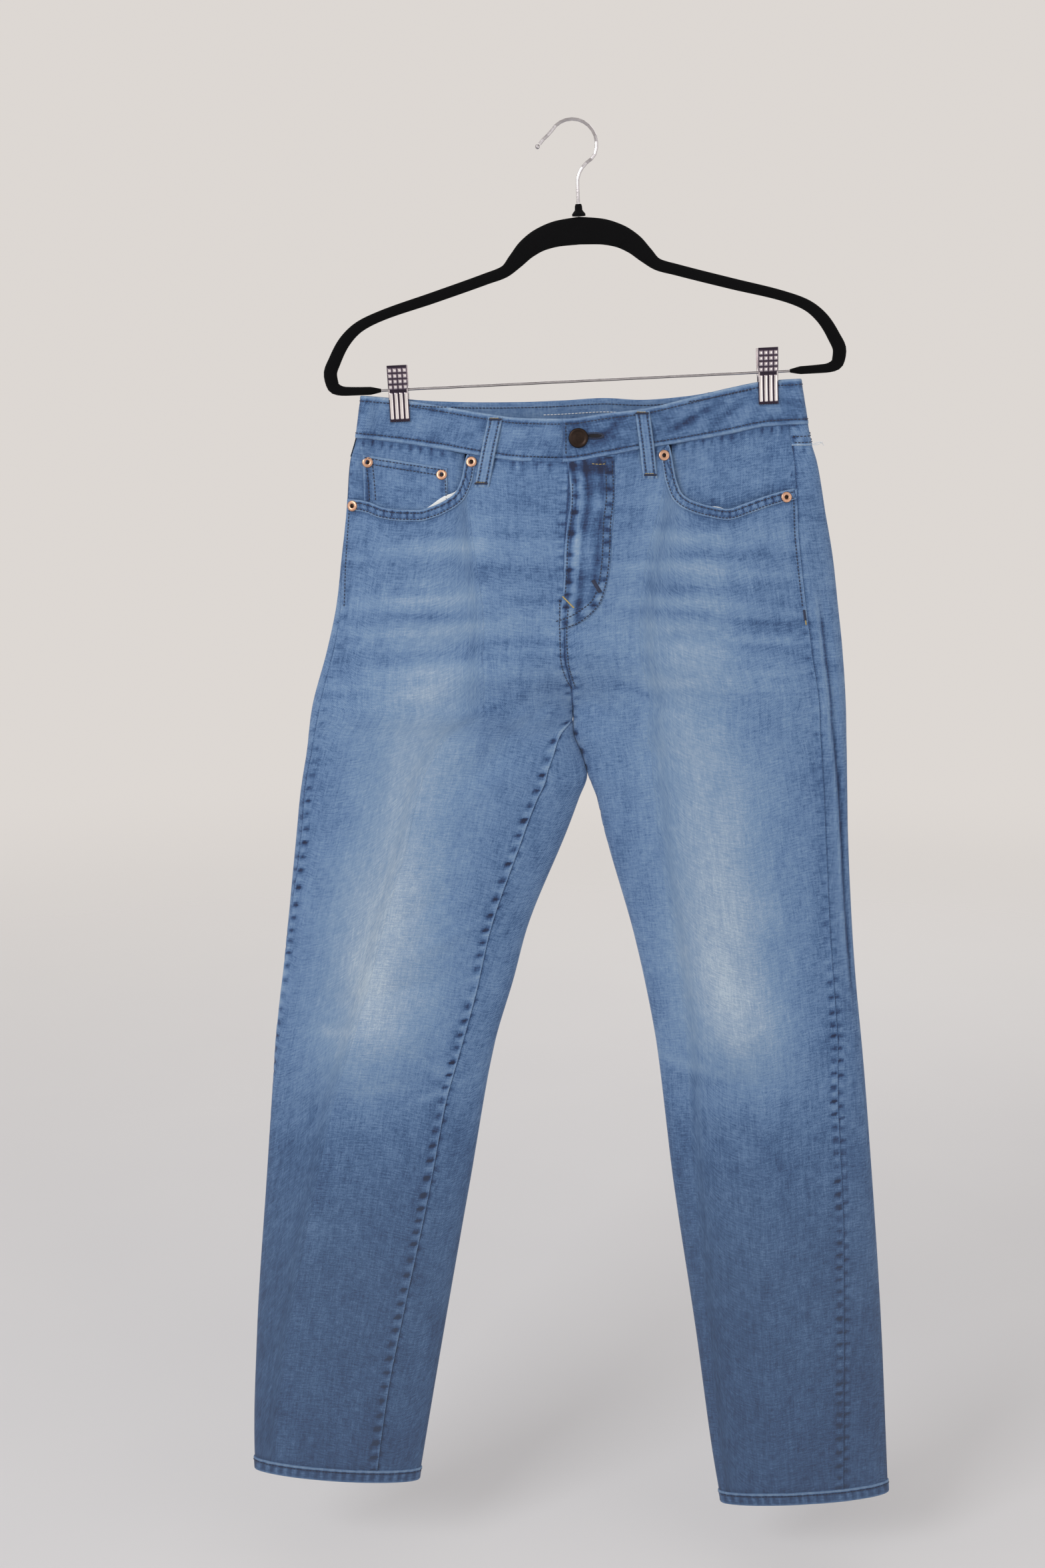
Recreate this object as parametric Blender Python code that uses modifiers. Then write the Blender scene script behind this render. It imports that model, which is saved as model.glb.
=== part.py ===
"""Slim five-pocket jeans clipped to a velvet hanger, as closed cloth and metal solids.

The origin is the inside top of the hanger's hook, where the hanger is held.
+X is the viewer's right and the wearer's left, +Y points away from the viewer, +Z is up.
Lengths are in millimetres until MM turns a finished mesh into metres.
"""
import math
from bisect import bisect_right
from collections import namedtuple

import bmesh
import bpy
from mathutils import Matrix, Vector

MM = 0.001

# Sides of the wearer, and faces of the garment by the sign of Y
RIGHT, LEFT = "right", "left"
FRONT, BACK = -1, 1

# Cloth layers, each with a gap to its neighbour
GAP = 0.3
SEAM_HALF_GAP = 0.17
CLOTH = 1.4
BAND_RISE = 1.2
PATCH = 1.1
LINING = 0.8
BUTT = 0.35

# Heights
CROTCH_Z = -492.0
CROTCH_ARCH = 60.0
WAIST_FADE_TOP = -255.0
WAIST_FADE = 110.0
HEM_HEIGHT = 13.0
YOKE_OUTER_Z = {RIGHT: -274.0, LEFT: -264.0}
YOKE_POINT_Z = -332.0
# Each leg panel is four shells that meet near these heights
PANEL_STRETCHES = ("hip", "thigh", "knee", "shin")
PANEL_SPLIT_Z = (CROTCH_Z, -745.0, -985.0)

# Depth of the hanging hip from its middle plane to each face
HIP_DEPTH = {FRONT: 28.0, BACK: 24.0}

# Waist between the clips, flat under each jaw and a loop outside it
CLIP_X = {RIGHT: -145.5, LEFT: 167.5}
CLIP_HALF_FLAT = 9.5
WAIST_PINCH = 1.7
WAIST_BULGE = {FRONT: 14.0, BACK: 10.0}
WAIST_LOOP = 14.0

# Outline and depth of the hanging garment, a row for each level
Section = namedtuple("Section", "z right_edge right_inner left_inner left_edge front_depth back_depth")
SECTIONS = [
    Section(-205, -174.5, 3.8, 4.2, 194.5, 23, 21),
    Section(-222, -176.6, 3.8, 4.2, 197.5, 23, 21),
    Section(-258, -182.0, 3.8, 4.2, 205.0, 23, 21),
    Section(-280, -188.0, 3.8, 4.2, 212.0, 23, 21),
    Section(-320, -191.5, 3.8, 4.2, 220.0, 23, 21),
    Section(-360, -196.5, 3.8, 4.2, 227.8, 23, 21),
    Section(-400, -201.5, 3.8, 4.2, 233.4, 23, 21),
    Section(-440, -210.5, 3.8, 4.2, 238.8, 23, 21),
    Section(-492, -225.0, 3.8, 4.2, 243.5, 23, 21),
    Section(-512, -228.0, 4.6, 5.0, 244.5, 23, 21),
    Section(-532, -230.6, 12.0, 12.4, 245.6, 23, 21),
    Section(-551, -234.0, 17.0, 17.6, 246.5, 23, 21),
    Section(-572, -237.3, 10.0, 25.5, 247.5, 23, 21),
    Section(-600, -240.5, 0.0, 32.0, 248.8, 23, 21),
    Section(-690, -251.0, -35.5, 58.0, 255.4, 22, 20),
    Section(-740, -257.0, -48.5, 70.0, 260.5, 21, 19),
    Section(-800, -264.3, -65.5, 81.5, 268.0, 20, 18),
    Section(-930, -276.0, -88.0, 98.5, 282.0, 18, 17),
    Section(-1080, -288.8, -113.5, 122.0, 296.0, 17, 16),
    Section(-1205, -294.6, -134.0, 140.0, 305.3, 15, 15),
    Section(-1262, -293.5, -143.0, 150.0, 309.5, 15, 15),
]

# Where each seam lies round a section: 0 at the outer edge, 1 at the inner edge, and
# positive on the front, so a seam past 1 has passed the inner edge to the back
Seams = namedtuple("Seams", "z right_outseam right_inseam left_outseam left_inseam")
SEAMS = [
    Seams(-245, 0.02, 1.00, 0.175, 1.00),
    Seams(-300, 0.03, 1.00, 0.211, 1.00),
    Seams(-360, 0.07, 1.00, 0.236, 1.00),
    Seams(-440, 0.12, 1.00, 0.227, 1.00),
    Seams(-492, 0.12, 1.00, 0.213, 1.00),
    Seams(-512, 0.11, 0.86, 0.212, 1.01),
    Seams(-531, 0.10, 0.79, 0.211, 1.02),
    Seams(-551, 0.09, 0.749, 0.210, 1.04),
    Seams(-600, 0.10, 0.735, 0.210, 1.08),
    Seams(-700, 0.06, 0.740, 0.220, 1.13),
    Seams(-780, 0.00, 0.746, 0.231, 1.16),
    Seams(-860, -0.07, 0.718, 0.258, 1.19),
    Seams(-950, -0.14, 0.705, 0.270, 1.22),
    Seams(-1050, -0.20, 0.681, 0.301, 1.25),
    Seams(-1150, -0.26, 0.660, 0.327, 1.28),
    Seams(-1262, -0.32, 0.655, 0.361, 1.31),
]

# Line of the front and back centre seams above the crotch
Centre = namedtuple("Centre", "z x")
CENTRE = [
    Centre(-205, -3.0),
    Centre(-290, -1.0),
    Centre(-350, -4.0),
    Centre(-440, -4.0),
    Centre(-470, 2.0),
    Centre(-492, 4.0),
]

# Top and bottom edges of the waistband along the front and the back
Waist = namedtuple("Waist", "x front_top back_top front_seam back_seam")
WAIST = [
    Waist(-190, -222.6, -222.6, -258.0, -258.0),
    Waist(-178, -223.0, -223.0, -258.6, -258.6),
    Waist(-145, -226.0, -225.4, -262.3, -261.6),
    Waist(-110, -231.5, -227.8, -267.3, -264.2),
    Waist(-70, -238.0, -228.6, -274.0, -265.5),
    Waist(-40, -241.5, -228.3, -277.3, -265.4),
    Waist(-5, -242.0, -227.0, -278.0, -264.4),
    Waist(30, -237.5, -225.0, -272.8, -263.0),
    Waist(60, -234.0, -226.5, -267.3, -262.8),
    Waist(100, -225.0, -223.4, -261.0, -259.8),
    Waist(135, -216.5, -217.0, -255.0, -255.0),
    Waist(168, -210.5, -210.5, -248.5, -248.6),
    Waist(196, -208.9, -208.9, -246.9, -246.9),
    Waist(212, -208.6, -208.6, -246.6, -246.6),
]
BAND_TOP_END_X = -6.3
BAND_UNDER_END_X = 33.0
BAND_TUCK = 3.2
BAND_TUCK_FROM_X = -48.0
BAND_TUCK_TO_X = -12.0
BAND_COLUMNS = 66

# Lower corners of the two hems, outer then inner
HEM_Z = {RIGHT: (-1223.0, -1234.0), LEFT: (-1247.0, -1258.0)}

# Upper edge of each front panel from its outseam: the pocket mouth, then the waist seam.
# A row without a z follows the waist seam. at is the column's place across the panel below.
Edge = namedtuple("Edge", "at right_x right_z left_x left_z")
MOUTH_CELLS = 10
FRONT_EDGE = [
    Edge(0.00, -189.8, -310.3, 191.6, -301.0),
    Edge(0.05, -181.0, -310.6, 184.0, -302.5),
    Edge(0.11, -171.0, -312.6, 175.0, -304.8),
    Edge(0.17, -158.5, -317.0, 163.0, -308.4),
    Edge(0.23, -144.5, -318.6, 149.0, -313.3),
    Edge(0.29, -130.0, -318.8, 134.0, -317.6),
    Edge(0.35, -118.0, -316.0, 119.5, -315.2),
    Edge(0.40, -107.0, -311.2, 106.0, -311.4),
    Edge(0.45, -97.6, -304.6, 95.0, -304.6),
    Edge(0.50, -92.2, -293.5, 89.8, -292.0),
    Edge(0.55, -86.5, None, 83.0, None),
    Edge(0.65, -64.0, None, 60.0, None),
    Edge(0.77, -43.0, None, 38.0, None),
    Edge(0.89, -22.0, None, 17.0, None),
    Edge(1.00, None, None, None, None),
]
MOUTH_BAND = 9.5
MOUTH_BAND_AT_WAIST = 8.0

# Share of the way from the crotch to the upper edge at which each row of a panel lies
UPPER_ROWS = [0.0, 0.03, 0.075, 0.13, 0.2, 0.28, 0.37, 0.47, 0.57, 0.68, 0.79, 0.9, 1.0]
# Distance below the crotch of each row of a panel, as a share of the way to the hem
LOWER_ROWS = [0.019, 0.04, 0.062, 0.085, 0.112, 0.15, 0.2, 0.257, 0.314, 0.371, 0.428, 0.485,
              0.542, 0.6, 0.657, 0.714, 0.771, 0.828, 0.885, 0.942, 1.0]
BACK_CELLS = 13
PLEAT_STRIP_CELLS = 4

# Pleat beside the left outseam: where it lies between edge and seam, and how deep it is
Pleat = namedtuple("Pleat", "z place depth")
PLEAT = [
    Pleat(-380, 0.78, 0.0),
    Pleat(-415, 0.75, 2.2),
    Pleat(-480, 0.74, 3.0),
    Pleat(-590, 0.58, 3.0),
    Pleat(-690, 0.52, 2.4),
    Pleat(-780, 0.46, 0.0),
]
PLEAT_HALF_WIDTH = 0.013

# Largest soft folds: a ridge (or a trough, where height is negative) centred at x, z
Fold = namedtuple("Fold", "side face x z run tilt width height")
FOLDS = [
    Fold(RIGHT, FRONT, -95, -432, 75, 6, 17, -1.6),
    Fold(RIGHT, FRONT, -80, -462, 80, 12, 15, 1.5),
    Fold(LEFT, FRONT, 110, -425, 80, -5, 17, -1.6),
    Fold(LEFT, FRONT, 95, -458, 85, -10, 15, 1.5),
    Fold(RIGHT, FRONT, -60, -528, 60, 30, 16, -2.0),
    Fold(LEFT, FRONT, 75, -528, 60, -28, 16, -2.0),
    Fold(RIGHT, FRONT, -165, -800, 60, 10, 26, 2.2),
    Fold(LEFT, FRONT, 170, -790, 60, -8, 26, 2.2),
    Fold(RIGHT, BACK, -165, -760, 75, 8, 20, -2.2),
    Fold(RIGHT, BACK, -170, -805, 75, -6, 20, -2.0),
    Fold(LEFT, BACK, 175, -755, 75, -8, 20, -2.2),
    Fold(LEFT, BACK, 180, -802, 75, 6, 20, -2.0),
    Fold(RIGHT, BACK, -90, -520, 80, -18, 18, -2.0),
    Fold(LEFT, BACK, 95, -520, 80, 18, 18, -2.0),
    Fold(RIGHT, FRONT, -205, -1110, 55, 12, 24, -1.6),
    Fold(LEFT, FRONT, 215, -1120, 55, -10, 24, -1.6),
]

# Fly lap on the front, from its free edge to the curved stitch line
FlyRow = namedtuple("FlyRow", "z edge_x stitch_x")
FLY = [
    FlyRow(None, -3.0, 35.5),
    FlyRow(-292, -0.5, 36.3),
    FlyRow(-308, 0.5, 36.3),
    FlyRow(-330, -2.5, 34.6),
    FlyRow(-350, -4.5, 33.6),
    FlyRow(-368, -5.0, 32.4),
    FlyRow(-384, -5.5, 29.2),
    FlyRow(-396, -7.0, 24.6),
    FlyRow(-406, -8.0, 17.0),
    FlyRow(-413, -8.2, 8.0),
    FlyRow(-418, -8.4, -3.0),
]

# Belt loops: where each stands at the top and at the bottom of the waistband
Loop = namedtuple("Loop", "name face top_x bottom_x")
LOOPS = [
    Loop("belt_loop_front_right", FRONT, -62.8, -74.9),
    Loop("belt_loop_front_left", FRONT, 60.6, 68.2),
    Loop("belt_loop_back_right", BACK, -108.0, -112.0),
    Loop("belt_loop_back_centre", BACK, 6.0, 5.0),
    Loop("belt_loop_back_left", BACK, 124.0, 128.0),
]
LOOP_WIDTH = 12.5
LOOP_THICK = 1.6
LOOP_BELOW_SEAM = 26.0
# Height of a loop's inner face over the panel, from the top of the loop to its foot
LoopRow = namedtuple("LoopRow", "along lift")
LOOP_RISE = [
    LoopRow(0.00, 1.55),
    LoopRow(0.10, 1.6),
    LoopRow(0.28, 2.5),
    LoopRow(0.46, 2.7),
    LoopRow(0.62, 2.2),
    LoopRow(0.76, 1.1),
    LoopRow(0.88, 0.35),
    LoopRow(1.00, 0.35),
]

# Depths of what lies behind the front: lining, facing, zip, fly shield
LINING_LIFT = -CLOTH - 0.9
FACING_LIFT = LINING_LIFT - LINING - 0.6
FACING_EDGE_LIFT = -0.2
FACING_SLOPE = 22.0
FACING_DROP = 24.0
FACING_END = (7.0, -4.0)
FACING_TUCK = 14.0
FACING_TUCK_FROM = (22.0, 34.0)
COIN_GAP = 0.8
COIN_THICK = 0.9
COIN_X = (-176.0, -171.0, -164.0, -158.5, -144.5, -130.0, -118.0, -107.0, -104.5)
COIN_TOP_Z = (-272.4, -282.8)
BACK_POCKET_GAP = 0.6
BACK_POCKET_THICK = 1.2
BACK_POCKET_X = {RIGHT: -98.0, LEFT: 104.0}
BACK_POCKET_TOP_Z = -342.0
BACK_POCKET_TOP_HALF, BACK_POCKET_FOOT_HALF = 71.0, 60.0
BACK_POCKET_SIDE, BACK_POCKET_POINT = 128.0, 22.0
BACK_POCKET_CELLS = 6
POCKET_BOTTOM_Z = -392.0
POCKET_BOTTOM_ROUND = 14.0
BAG_END = (12.0, -284.0)
LINING_PEEK = 2.6
LINING_PEEK_X, LINING_PEEK_HALF = 112.0, 16.0
ZIP_X = (-4.0, 4.0, 12.0)
ZIP_Z = (-284.0, -306.0, -328.0, -350.0, -372.0, -390.0)
ZIP_LIFT = -CLOTH - 0.6
ZIP_THICK = 0.9
SLIDER_X = (0.5, 7.5)
SLIDER_Z = (-287.0, -297.0)
SLIDER_THICK = 1.8
SHIELD_X = (-16.0, -9.0, 0.0, 15.0, 30.0)
SHIELD_Z = (-282.0, -306.0, -330.0, -354.0, -378.0, -398.0)
SHIELD_BEND_X = (-12.0, -3.0)
SHIELD_LIFT = -5.6
SHIELD_THICK = 1.0

# Rivets: x, z and the height of the layer under each
Rivet = namedtuple("Rivet", "name x z lift")
RIVETS = [
    Rivet("rivet_coin_outer", -172.5, -278.6, 1.1),
    Rivet("rivet_coin_inner", -109.3, -288.4, -0.7),
    Rivet("rivet_right_upper", -83.6, -278.4, 2.1),
    Rivet("rivet_right_lower", -185.6, -315.6, 1.8),
    Rivet("rivet_left_upper", 79.8, -272.8, 2.1),
    Rivet("rivet_left_lower", 184.6, -308.0, 1.8),
]

BUTTON_X, BUTTON_Z = 7.0, -258.0

# Half profiles of the turned pieces, from top to bottom
Ring = namedtuple("Ring", "radius height")
RIVET_PROFILE = [
    Ring(0.0, 0.6),
    Ring(1.65, 0.6),
    Ring(2.3, 1.1),
    Ring(3.7, 1.1),
    Ring(4.6, 0.5),
    Ring(4.6, 0.0),
    Ring(0.0, 0.0),
]
BUTTON_PROFILE = [
    Ring(0.0, 2.0),
    Ring(4.6, 2.1),
    Ring(6.2, 2.6),
    Ring(7.6, 2.5),
    Ring(8.3, 1.8),
    Ring(7.5, 1.0),
    Ring(3.7, 0.7),
    Ring(3.3, 0.0),
    Ring(0.0, 0.0),
]

# Hanger, in its own upright frame before it is tilted about the origin
HANGER_TILT = math.radians(-2.7)
HANGER_X = 3.2
HANGER_THICK = 5.6
Arm = namedtuple("Arm", "x z width")
HANGER_ARM = [
    Arm(0, -88.0, 22.5),
    Arm(17, -89.4, 21.2),
    Arm(32, -93.4, 19.0),
    Arm(44.5, -100.6, 16.6),
    Arm(54.5, -110.0, 13.4),
    Arm(64, -118.2, 10.0),
    Arm(80, -123.4, 9.4),
    Arm(125, -136.6, 9.2),
    Arm(170, -149.4, 8.6),
    Arm(189, -157.6, 9.2),
    Arm(202, -169.2, 10.2),
    Arm(211, -184.0, 10.8),
    Arm(215.8, -196.0, 11.4),
    Arm(213.6, -206.4, 10.6),
    Arm(204, -210.2, 7.6),
    Arm(173.5, -211.0, 6.4),
]
BAR_Z = -211.0
BAR_RADIUS = 1.2
BAR_END = 173.2
HOOK_RADIUS = 18.9
WIRE_RADIUS = 1.4
COLLAR_TOP_Z = -66.6
COLLAR_PROFILE = [
    Ring(0.0, COLLAR_TOP_Z),
    Ring(2.4, COLLAR_TOP_Z),
    Ring(3.0, -68.2),
    Ring(3.2, -71.5),
    Ring(5.6, -74.6),
    Ring(5.6, -76.2),
    Ring(0.0, -76.2),
]

# Hook: its stem from the collar, the arc about the hanging point, and its outer end
Wire = namedtuple("Wire", "x y z")
HOOK_STEM = [
    Wire(HANGER_X, 0.0, COLLAR_TOP_Z + GAP),
    Wire(HANGER_X, 0.0, -55.0),
    Wire(3.4, 0.0, -47.0),
    Wire(5.6, 0.0, -40.5),
    Wire(11.0, 0.0, -34.2),
]
HOOK_ARC_DEGREES = range(-30, 151, 12)
HOOK_END = [Wire(-22.6, 0.0, -12.6), Wire(-27.0, 0.0, -17.4)]
HOOK_TIP = Wire(-28.75, 0.0, -19.3)
HOOK_TIP_RADIUS = 2.1

# Clip, about its own middle: half height, half width, plate and ears
CLIP_HANGER_X = {RIGHT: -155.6, LEFT: 157.6}
CLIP_Z = -214.0
CLIP_HALF_WIDTH = 8.4
PLATE = 1.3
EAR = 1.0
JawRow = namedtuple("JawRow", "y z")
JAW = [JawRow(3.95, -23.3), JawRow(3.95, -9.0), JawRow(5.3, 1.0), JawRow(7.4, 12.0), JawRow(8.6, 23.3)]
# Side outline of an ear about the bar's centre, and its hole
EAR_OUTLINE = [
    JawRow(5.4, -8.0),
    JawRow(1.2, -3.4),
    JawRow(-2.2, -2.2),
    JawRow(-3.2, 0.0),
    JawRow(-2.2, 2.2),
    JawRow(1.2, 3.4),
    JawRow(6.8, 7.0),
    JawRow(6.2, 0.0),
]
EAR_HOLE, EAR_HOLE_SIDES = 1.6, 10
SPRING_RADIUS, SPRING_WIRE = 2.15, 0.55
SPRING_TURNS, SPRING_STEPS, SPRING_HALF_LENGTH = 3, 8, 3.0


class Curve:
    """A smooth curve through (place, value) rows that never overshoots them."""

    def __init__(self, places, values):
        rows = sorted(zip(places, values))
        self.places = [place for place, _ in rows]
        self.values = [value for _, value in rows]
        slopes = []
        for (a, fa), (b, fb) in zip(rows, rows[1:]):
            slopes.append((fb - fa) / (b - a))
        self.tangents = [slopes[0]]
        for before, after in zip(slopes, slopes[1:]):
            level = before * after <= 0
            self.tangents.append(0.0 if level else 2 * before * after / (before + after))
        self.tangents.append(slopes[-1])

    def __call__(self, place):
        if place <= self.places[0]:
            return self.values[0] + self.tangents[0] * (place - self.places[0])
        if place >= self.places[-1]:
            return self.values[-1] + self.tangents[-1] * (place - self.places[-1])
        i = bisect_right(self.places, place) - 1
        span = self.places[i + 1] - self.places[i]
        t = (place - self.places[i]) / span
        start = (1 + 2 * t) * (1 - t) ** 2 * self.values[i]
        end = t * t * (3 - 2 * t) * self.values[i + 1]
        bend = t * (1 - t) ** 2 * self.tangents[i] - t * t * (1 - t) * self.tangents[i + 1]
        return start + end + span * bend


def column(rows, place, value):
    """Return the curve of one named column over another."""
    return Curve([getattr(row, place) for row in rows], [getattr(row, value) for row in rows])


def smooth(t):
    """Rise softly from 0 to 1 as t goes from 0 to 1."""
    t = min(1.0, max(0.0, t))
    return t * t * (3 - 2 * t)


def mix(a, b, t):
    return a + (b - a) * t


EDGE = {side: column(SECTIONS, "z", side + "_edge") for side in (RIGHT, LEFT)}
INNER = {side: column(SECTIONS, "z", side + "_inner") for side in (RIGHT, LEFT)}
LEG_DEPTH = {FRONT: column(SECTIONS, "z", "front_depth"), BACK: column(SECTIONS, "z", "back_depth")}
OUTSEAM = {side: column(SEAMS, "z", side + "_outseam") for side in (RIGHT, LEFT)}
INSEAM = {side: column(SEAMS, "z", side + "_inseam") for side in (RIGHT, LEFT)}
CENTRE_X = column(CENTRE, "z", "x")
BAND_TOP = {FRONT: column(WAIST, "x", "front_top"), BACK: column(WAIST, "x", "back_top")}
WAIST_SEAM = {FRONT: column(WAIST, "x", "front_seam"), BACK: column(WAIST, "x", "back_seam")}
PLEAT_PLACE = column(PLEAT, "z", "place")
PLEAT_DEPTH = column(PLEAT, "z", "depth")


def inner_edge(side, z):
    """Return x of the leg's inner edge, or of the centre seam above the crotch."""
    away = -SEAM_HALF_GAP if side == RIGHT else SEAM_HALF_GAP
    if z >= CROTCH_Z:
        return CENTRE_X(z) + away
    middle = (INNER[RIGHT](z) + INNER[LEFT](z)) / 2
    if side == RIGHT:
        return min(INNER[RIGHT](z), middle + away)
    return max(INNER[LEFT](z), middle + away)


def waist_depth_squared(face, x, z):
    """Return the square of the waist's depth: flat at the clips, open between them."""
    pinch = WAIST_PINCH ** 2
    first = CLIP_X[RIGHT]
    last = CLIP_X[LEFT]
    if first <= x <= last:
        inside = max(0.0, min(x - first, last - x) - CLIP_HALF_FLAT)
        t = inside / (last - first - 2 * CLIP_HALF_FLAT)
        return (WAIST_PINCH + WAIST_BULGE[face] * math.sin(math.pi * t) ** 2) ** 2
    side = RIGHT if x < first else LEFT
    way = 1 if side == RIGHT else -1
    loop = (CLIP_X[side] - EDGE[side](z)) * way - CLIP_HALF_FLAT
    t = min(1.0, (x - EDGE[side](z)) * way / loop)
    return WAIST_LOOP ** 2 * t * (1 - t) ** 4 + pinch * (1 - (1 - t) ** 6)


def depth_squared(side, face, x, z):
    """Return the square of the garment's depth from its middle plane at x, z."""
    right = EDGE[RIGHT](z)
    left = EDGE[LEFT](z)
    legs = 1 - smooth((z - CROTCH_Z) / CROTCH_ARCH)
    waist = 1 - smooth((WAIST_FADE_TOP - z) / WAIST_FADE)
    across = (x - (right + left) / 2) / ((left - right) / 2)
    depth = HIP_DEPTH[face] ** 2 * (1 - across ** 2)
    if legs > 0:
        outer = EDGE[side](z)
        inner = inner_edge(side, z)
        across = (x - (outer + inner) / 2) / ((inner - outer) / 2)
        depth = mix(depth, LEG_DEPTH[face](z) ** 2 * (1 - across ** 2), legs)
    if waist > 0:
        depth = mix(depth, waist_depth_squared(face, x, z), waist)
    return depth


def wrap(s):
    """Bring a place round a section back between -1 and 1."""
    if s > 1:
        return s - 2
    if s < -1:
        return s + 2
    return s


def place_x(side, s, z):
    """Return x of a place round the section."""
    return mix(EDGE[side](z), inner_edge(side, z), (1 - math.cos(math.pi * s)) / 2)


def place_s(side, x, z):
    """Return the place round the front of the section at x."""
    across = (x - EDGE[side](z)) / (inner_edge(side, z) - EDGE[side](z))
    return math.acos(min(1.0, max(-1.0, 1 - 2 * across))) / math.pi


def pleat_relief(side, s, z):
    """Return the groove and lip of the pleat beside the left outseam."""
    if side != LEFT or not PLEAT[-1].z < z < PLEAT[0].z or s <= 0:
        return 0.0
    t = (s - OUTSEAM[LEFT](z) * PLEAT_PLACE(z)) / PLEAT_HALF_WIDTH
    groove = -math.exp(-(t + 1) ** 2 / 1.6)
    lip = 0.35 * math.exp(-(t - 1) ** 2 / 1.6)
    return PLEAT_DEPTH(z) * (groove + lip)


def fold_relief(side, face, x, z):
    """Return the height of the soft folds at a point."""
    height = 0.0
    for fold in FOLDS:
        if fold.side != side or fold.face != face:
            continue
        tilt = math.radians(fold.tilt)
        along = (x - fold.x) * math.cos(tilt) + (z - fold.z) * math.sin(tilt)
        across = (z - fold.z) * math.cos(tilt) - (x - fold.x) * math.sin(tilt)
        height += fold.height * math.exp(-(along / fold.run) ** 2 - (across / fold.width) ** 2)
    return height


def skin(side, face, x, z, relief=0.0):
    """Return a point of the panels' outer face and its outward direction."""
    depth = math.sqrt(max(0.0, depth_squared(side, face, x, z)))
    step = 0.05
    across = depth_squared(side, face, x + step, z) - depth_squared(side, face, x - step, z)
    down = depth_squared(side, face, x, z + step) - depth_squared(side, face, x, z - step)
    normal = Vector((-across / (2 * step), 2 * face * depth, -down / (2 * step))).normalized()
    fade = min(1.0, depth / 8)
    height = fold_relief(side, face, x, z) * fade + relief
    return Vector((x, face * depth, z)) + normal * height, normal


def skin_at_place(side, s, z):
    """Return the outer face's point and direction at a place round the section."""
    s = wrap(s)
    face = FRONT if s >= 0 else BACK
    return skin(side, face, place_x(side, s, z), z, pleat_relief(side, s, z))


def skin_at_x(face, x, z):
    """Return the outer face's point and direction at x, z above the crotch."""
    side = RIGHT if x < CENTRE_X(z) else LEFT
    return skin(side, face, x, z)


def place_step(side, s, z, distance):
    """Return how far to move round the section to cover a distance."""
    width = abs(inner_edge(side, z) - EDGE[side](z)) / 2
    depth = LEG_DEPTH[FRONT](z)
    speed = math.pi * math.hypot(width * math.sin(math.pi * s), depth * math.cos(math.pi * s))
    return distance / speed


def material(name, colour, roughness, metallic=0.0):
    """Return the named Principled material."""
    found = bpy.data.materials.get(name)
    if found:
        return found
    made = bpy.data.materials.new(name)
    made.use_nodes = True
    made.diffuse_color = (*colour, 1)
    shader = made.node_tree.nodes["Principled BSDF"]
    shader.inputs["Base Color"].default_value = (*colour, 1)
    shader.inputs["Roughness"].default_value = roughness
    shader.inputs["Metallic"].default_value = metallic
    return made


def denim():
    return material("denim", (0.09, 0.18, 0.35), 0.85)


def lining():
    return material("pocket_lining", (0.72, 0.74, 0.74), 0.9)


def copper():
    return material("copper", (0.62, 0.32, 0.2), 0.35, 1.0)


def dark_metal():
    return material("button_metal", (0.06, 0.05, 0.05), 0.4, 1.0)


def velvet():
    return material("velvet", (0.006, 0.006, 0.007), 0.95)


def chrome():
    return material("chrome", (0.7, 0.7, 0.7), 0.12, 1.0)


def brass():
    return material("zip_brass", (0.55, 0.42, 0.2), 0.4, 1.0)


def collection(name):
    made = bpy.data.collections.new(name)
    bpy.context.scene.collection.children.link(made)
    return made


def clear_scene():
    for item in list(bpy.data.objects):
        bpy.data.objects.remove(item, do_unlink=True)


def add_object(name, data, look, target=None):
    """Link a mesh or curve to the parts, with its material."""
    item = bpy.data.objects.new(name, data)
    data.materials.clear()
    data.materials.append(look)
    (target or PARTS).objects.link(item)
    return item


def close_sheet(outer, inner, round_sheet=False):
    """Return faces of a closed wall between two point grids of the same size, both split
    along the same, shorter diagonals so that the wall never crosses itself."""
    rows = len(outer)
    columns = len(outer[0])
    last = columns if round_sheet else columns - 1
    half = rows * columns
    faces = []
    for i in range(rows - 1):
        for j in range(last):
            k = (j + 1) % columns
            a, b, c, d = i * columns + j, i * columns + k, (i + 1) * columns + k, (i + 1) * columns + j
            one = (outer[i][j] - outer[i + 1][k]).length
            other = (outer[i][k] - outer[i + 1][j]).length
            halves = ((a, b, c), (a, c, d)) if one <= other else ((a, b, d), (b, c, d))
            for triangle in halves:
                faces.append(triangle)
                faces.append([half + v for v in reversed(triangle)])
    rim = [(i * columns, (i + 1) * columns) for i in range(rows - 1)]
    rim += [((i + 1) * columns - 1, (i + 2) * columns - 1) for i in range(rows - 1)]
    if round_sheet:
        rim = []
    for j in range(last):
        k = (j + 1) % columns
        rim.append((j, k))
        rim.append(((rows - 1) * columns + j, (rows - 1) * columns + k))
    faces += [[a, b, half + b, half + a] for a, b in rim]
    return faces


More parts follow.
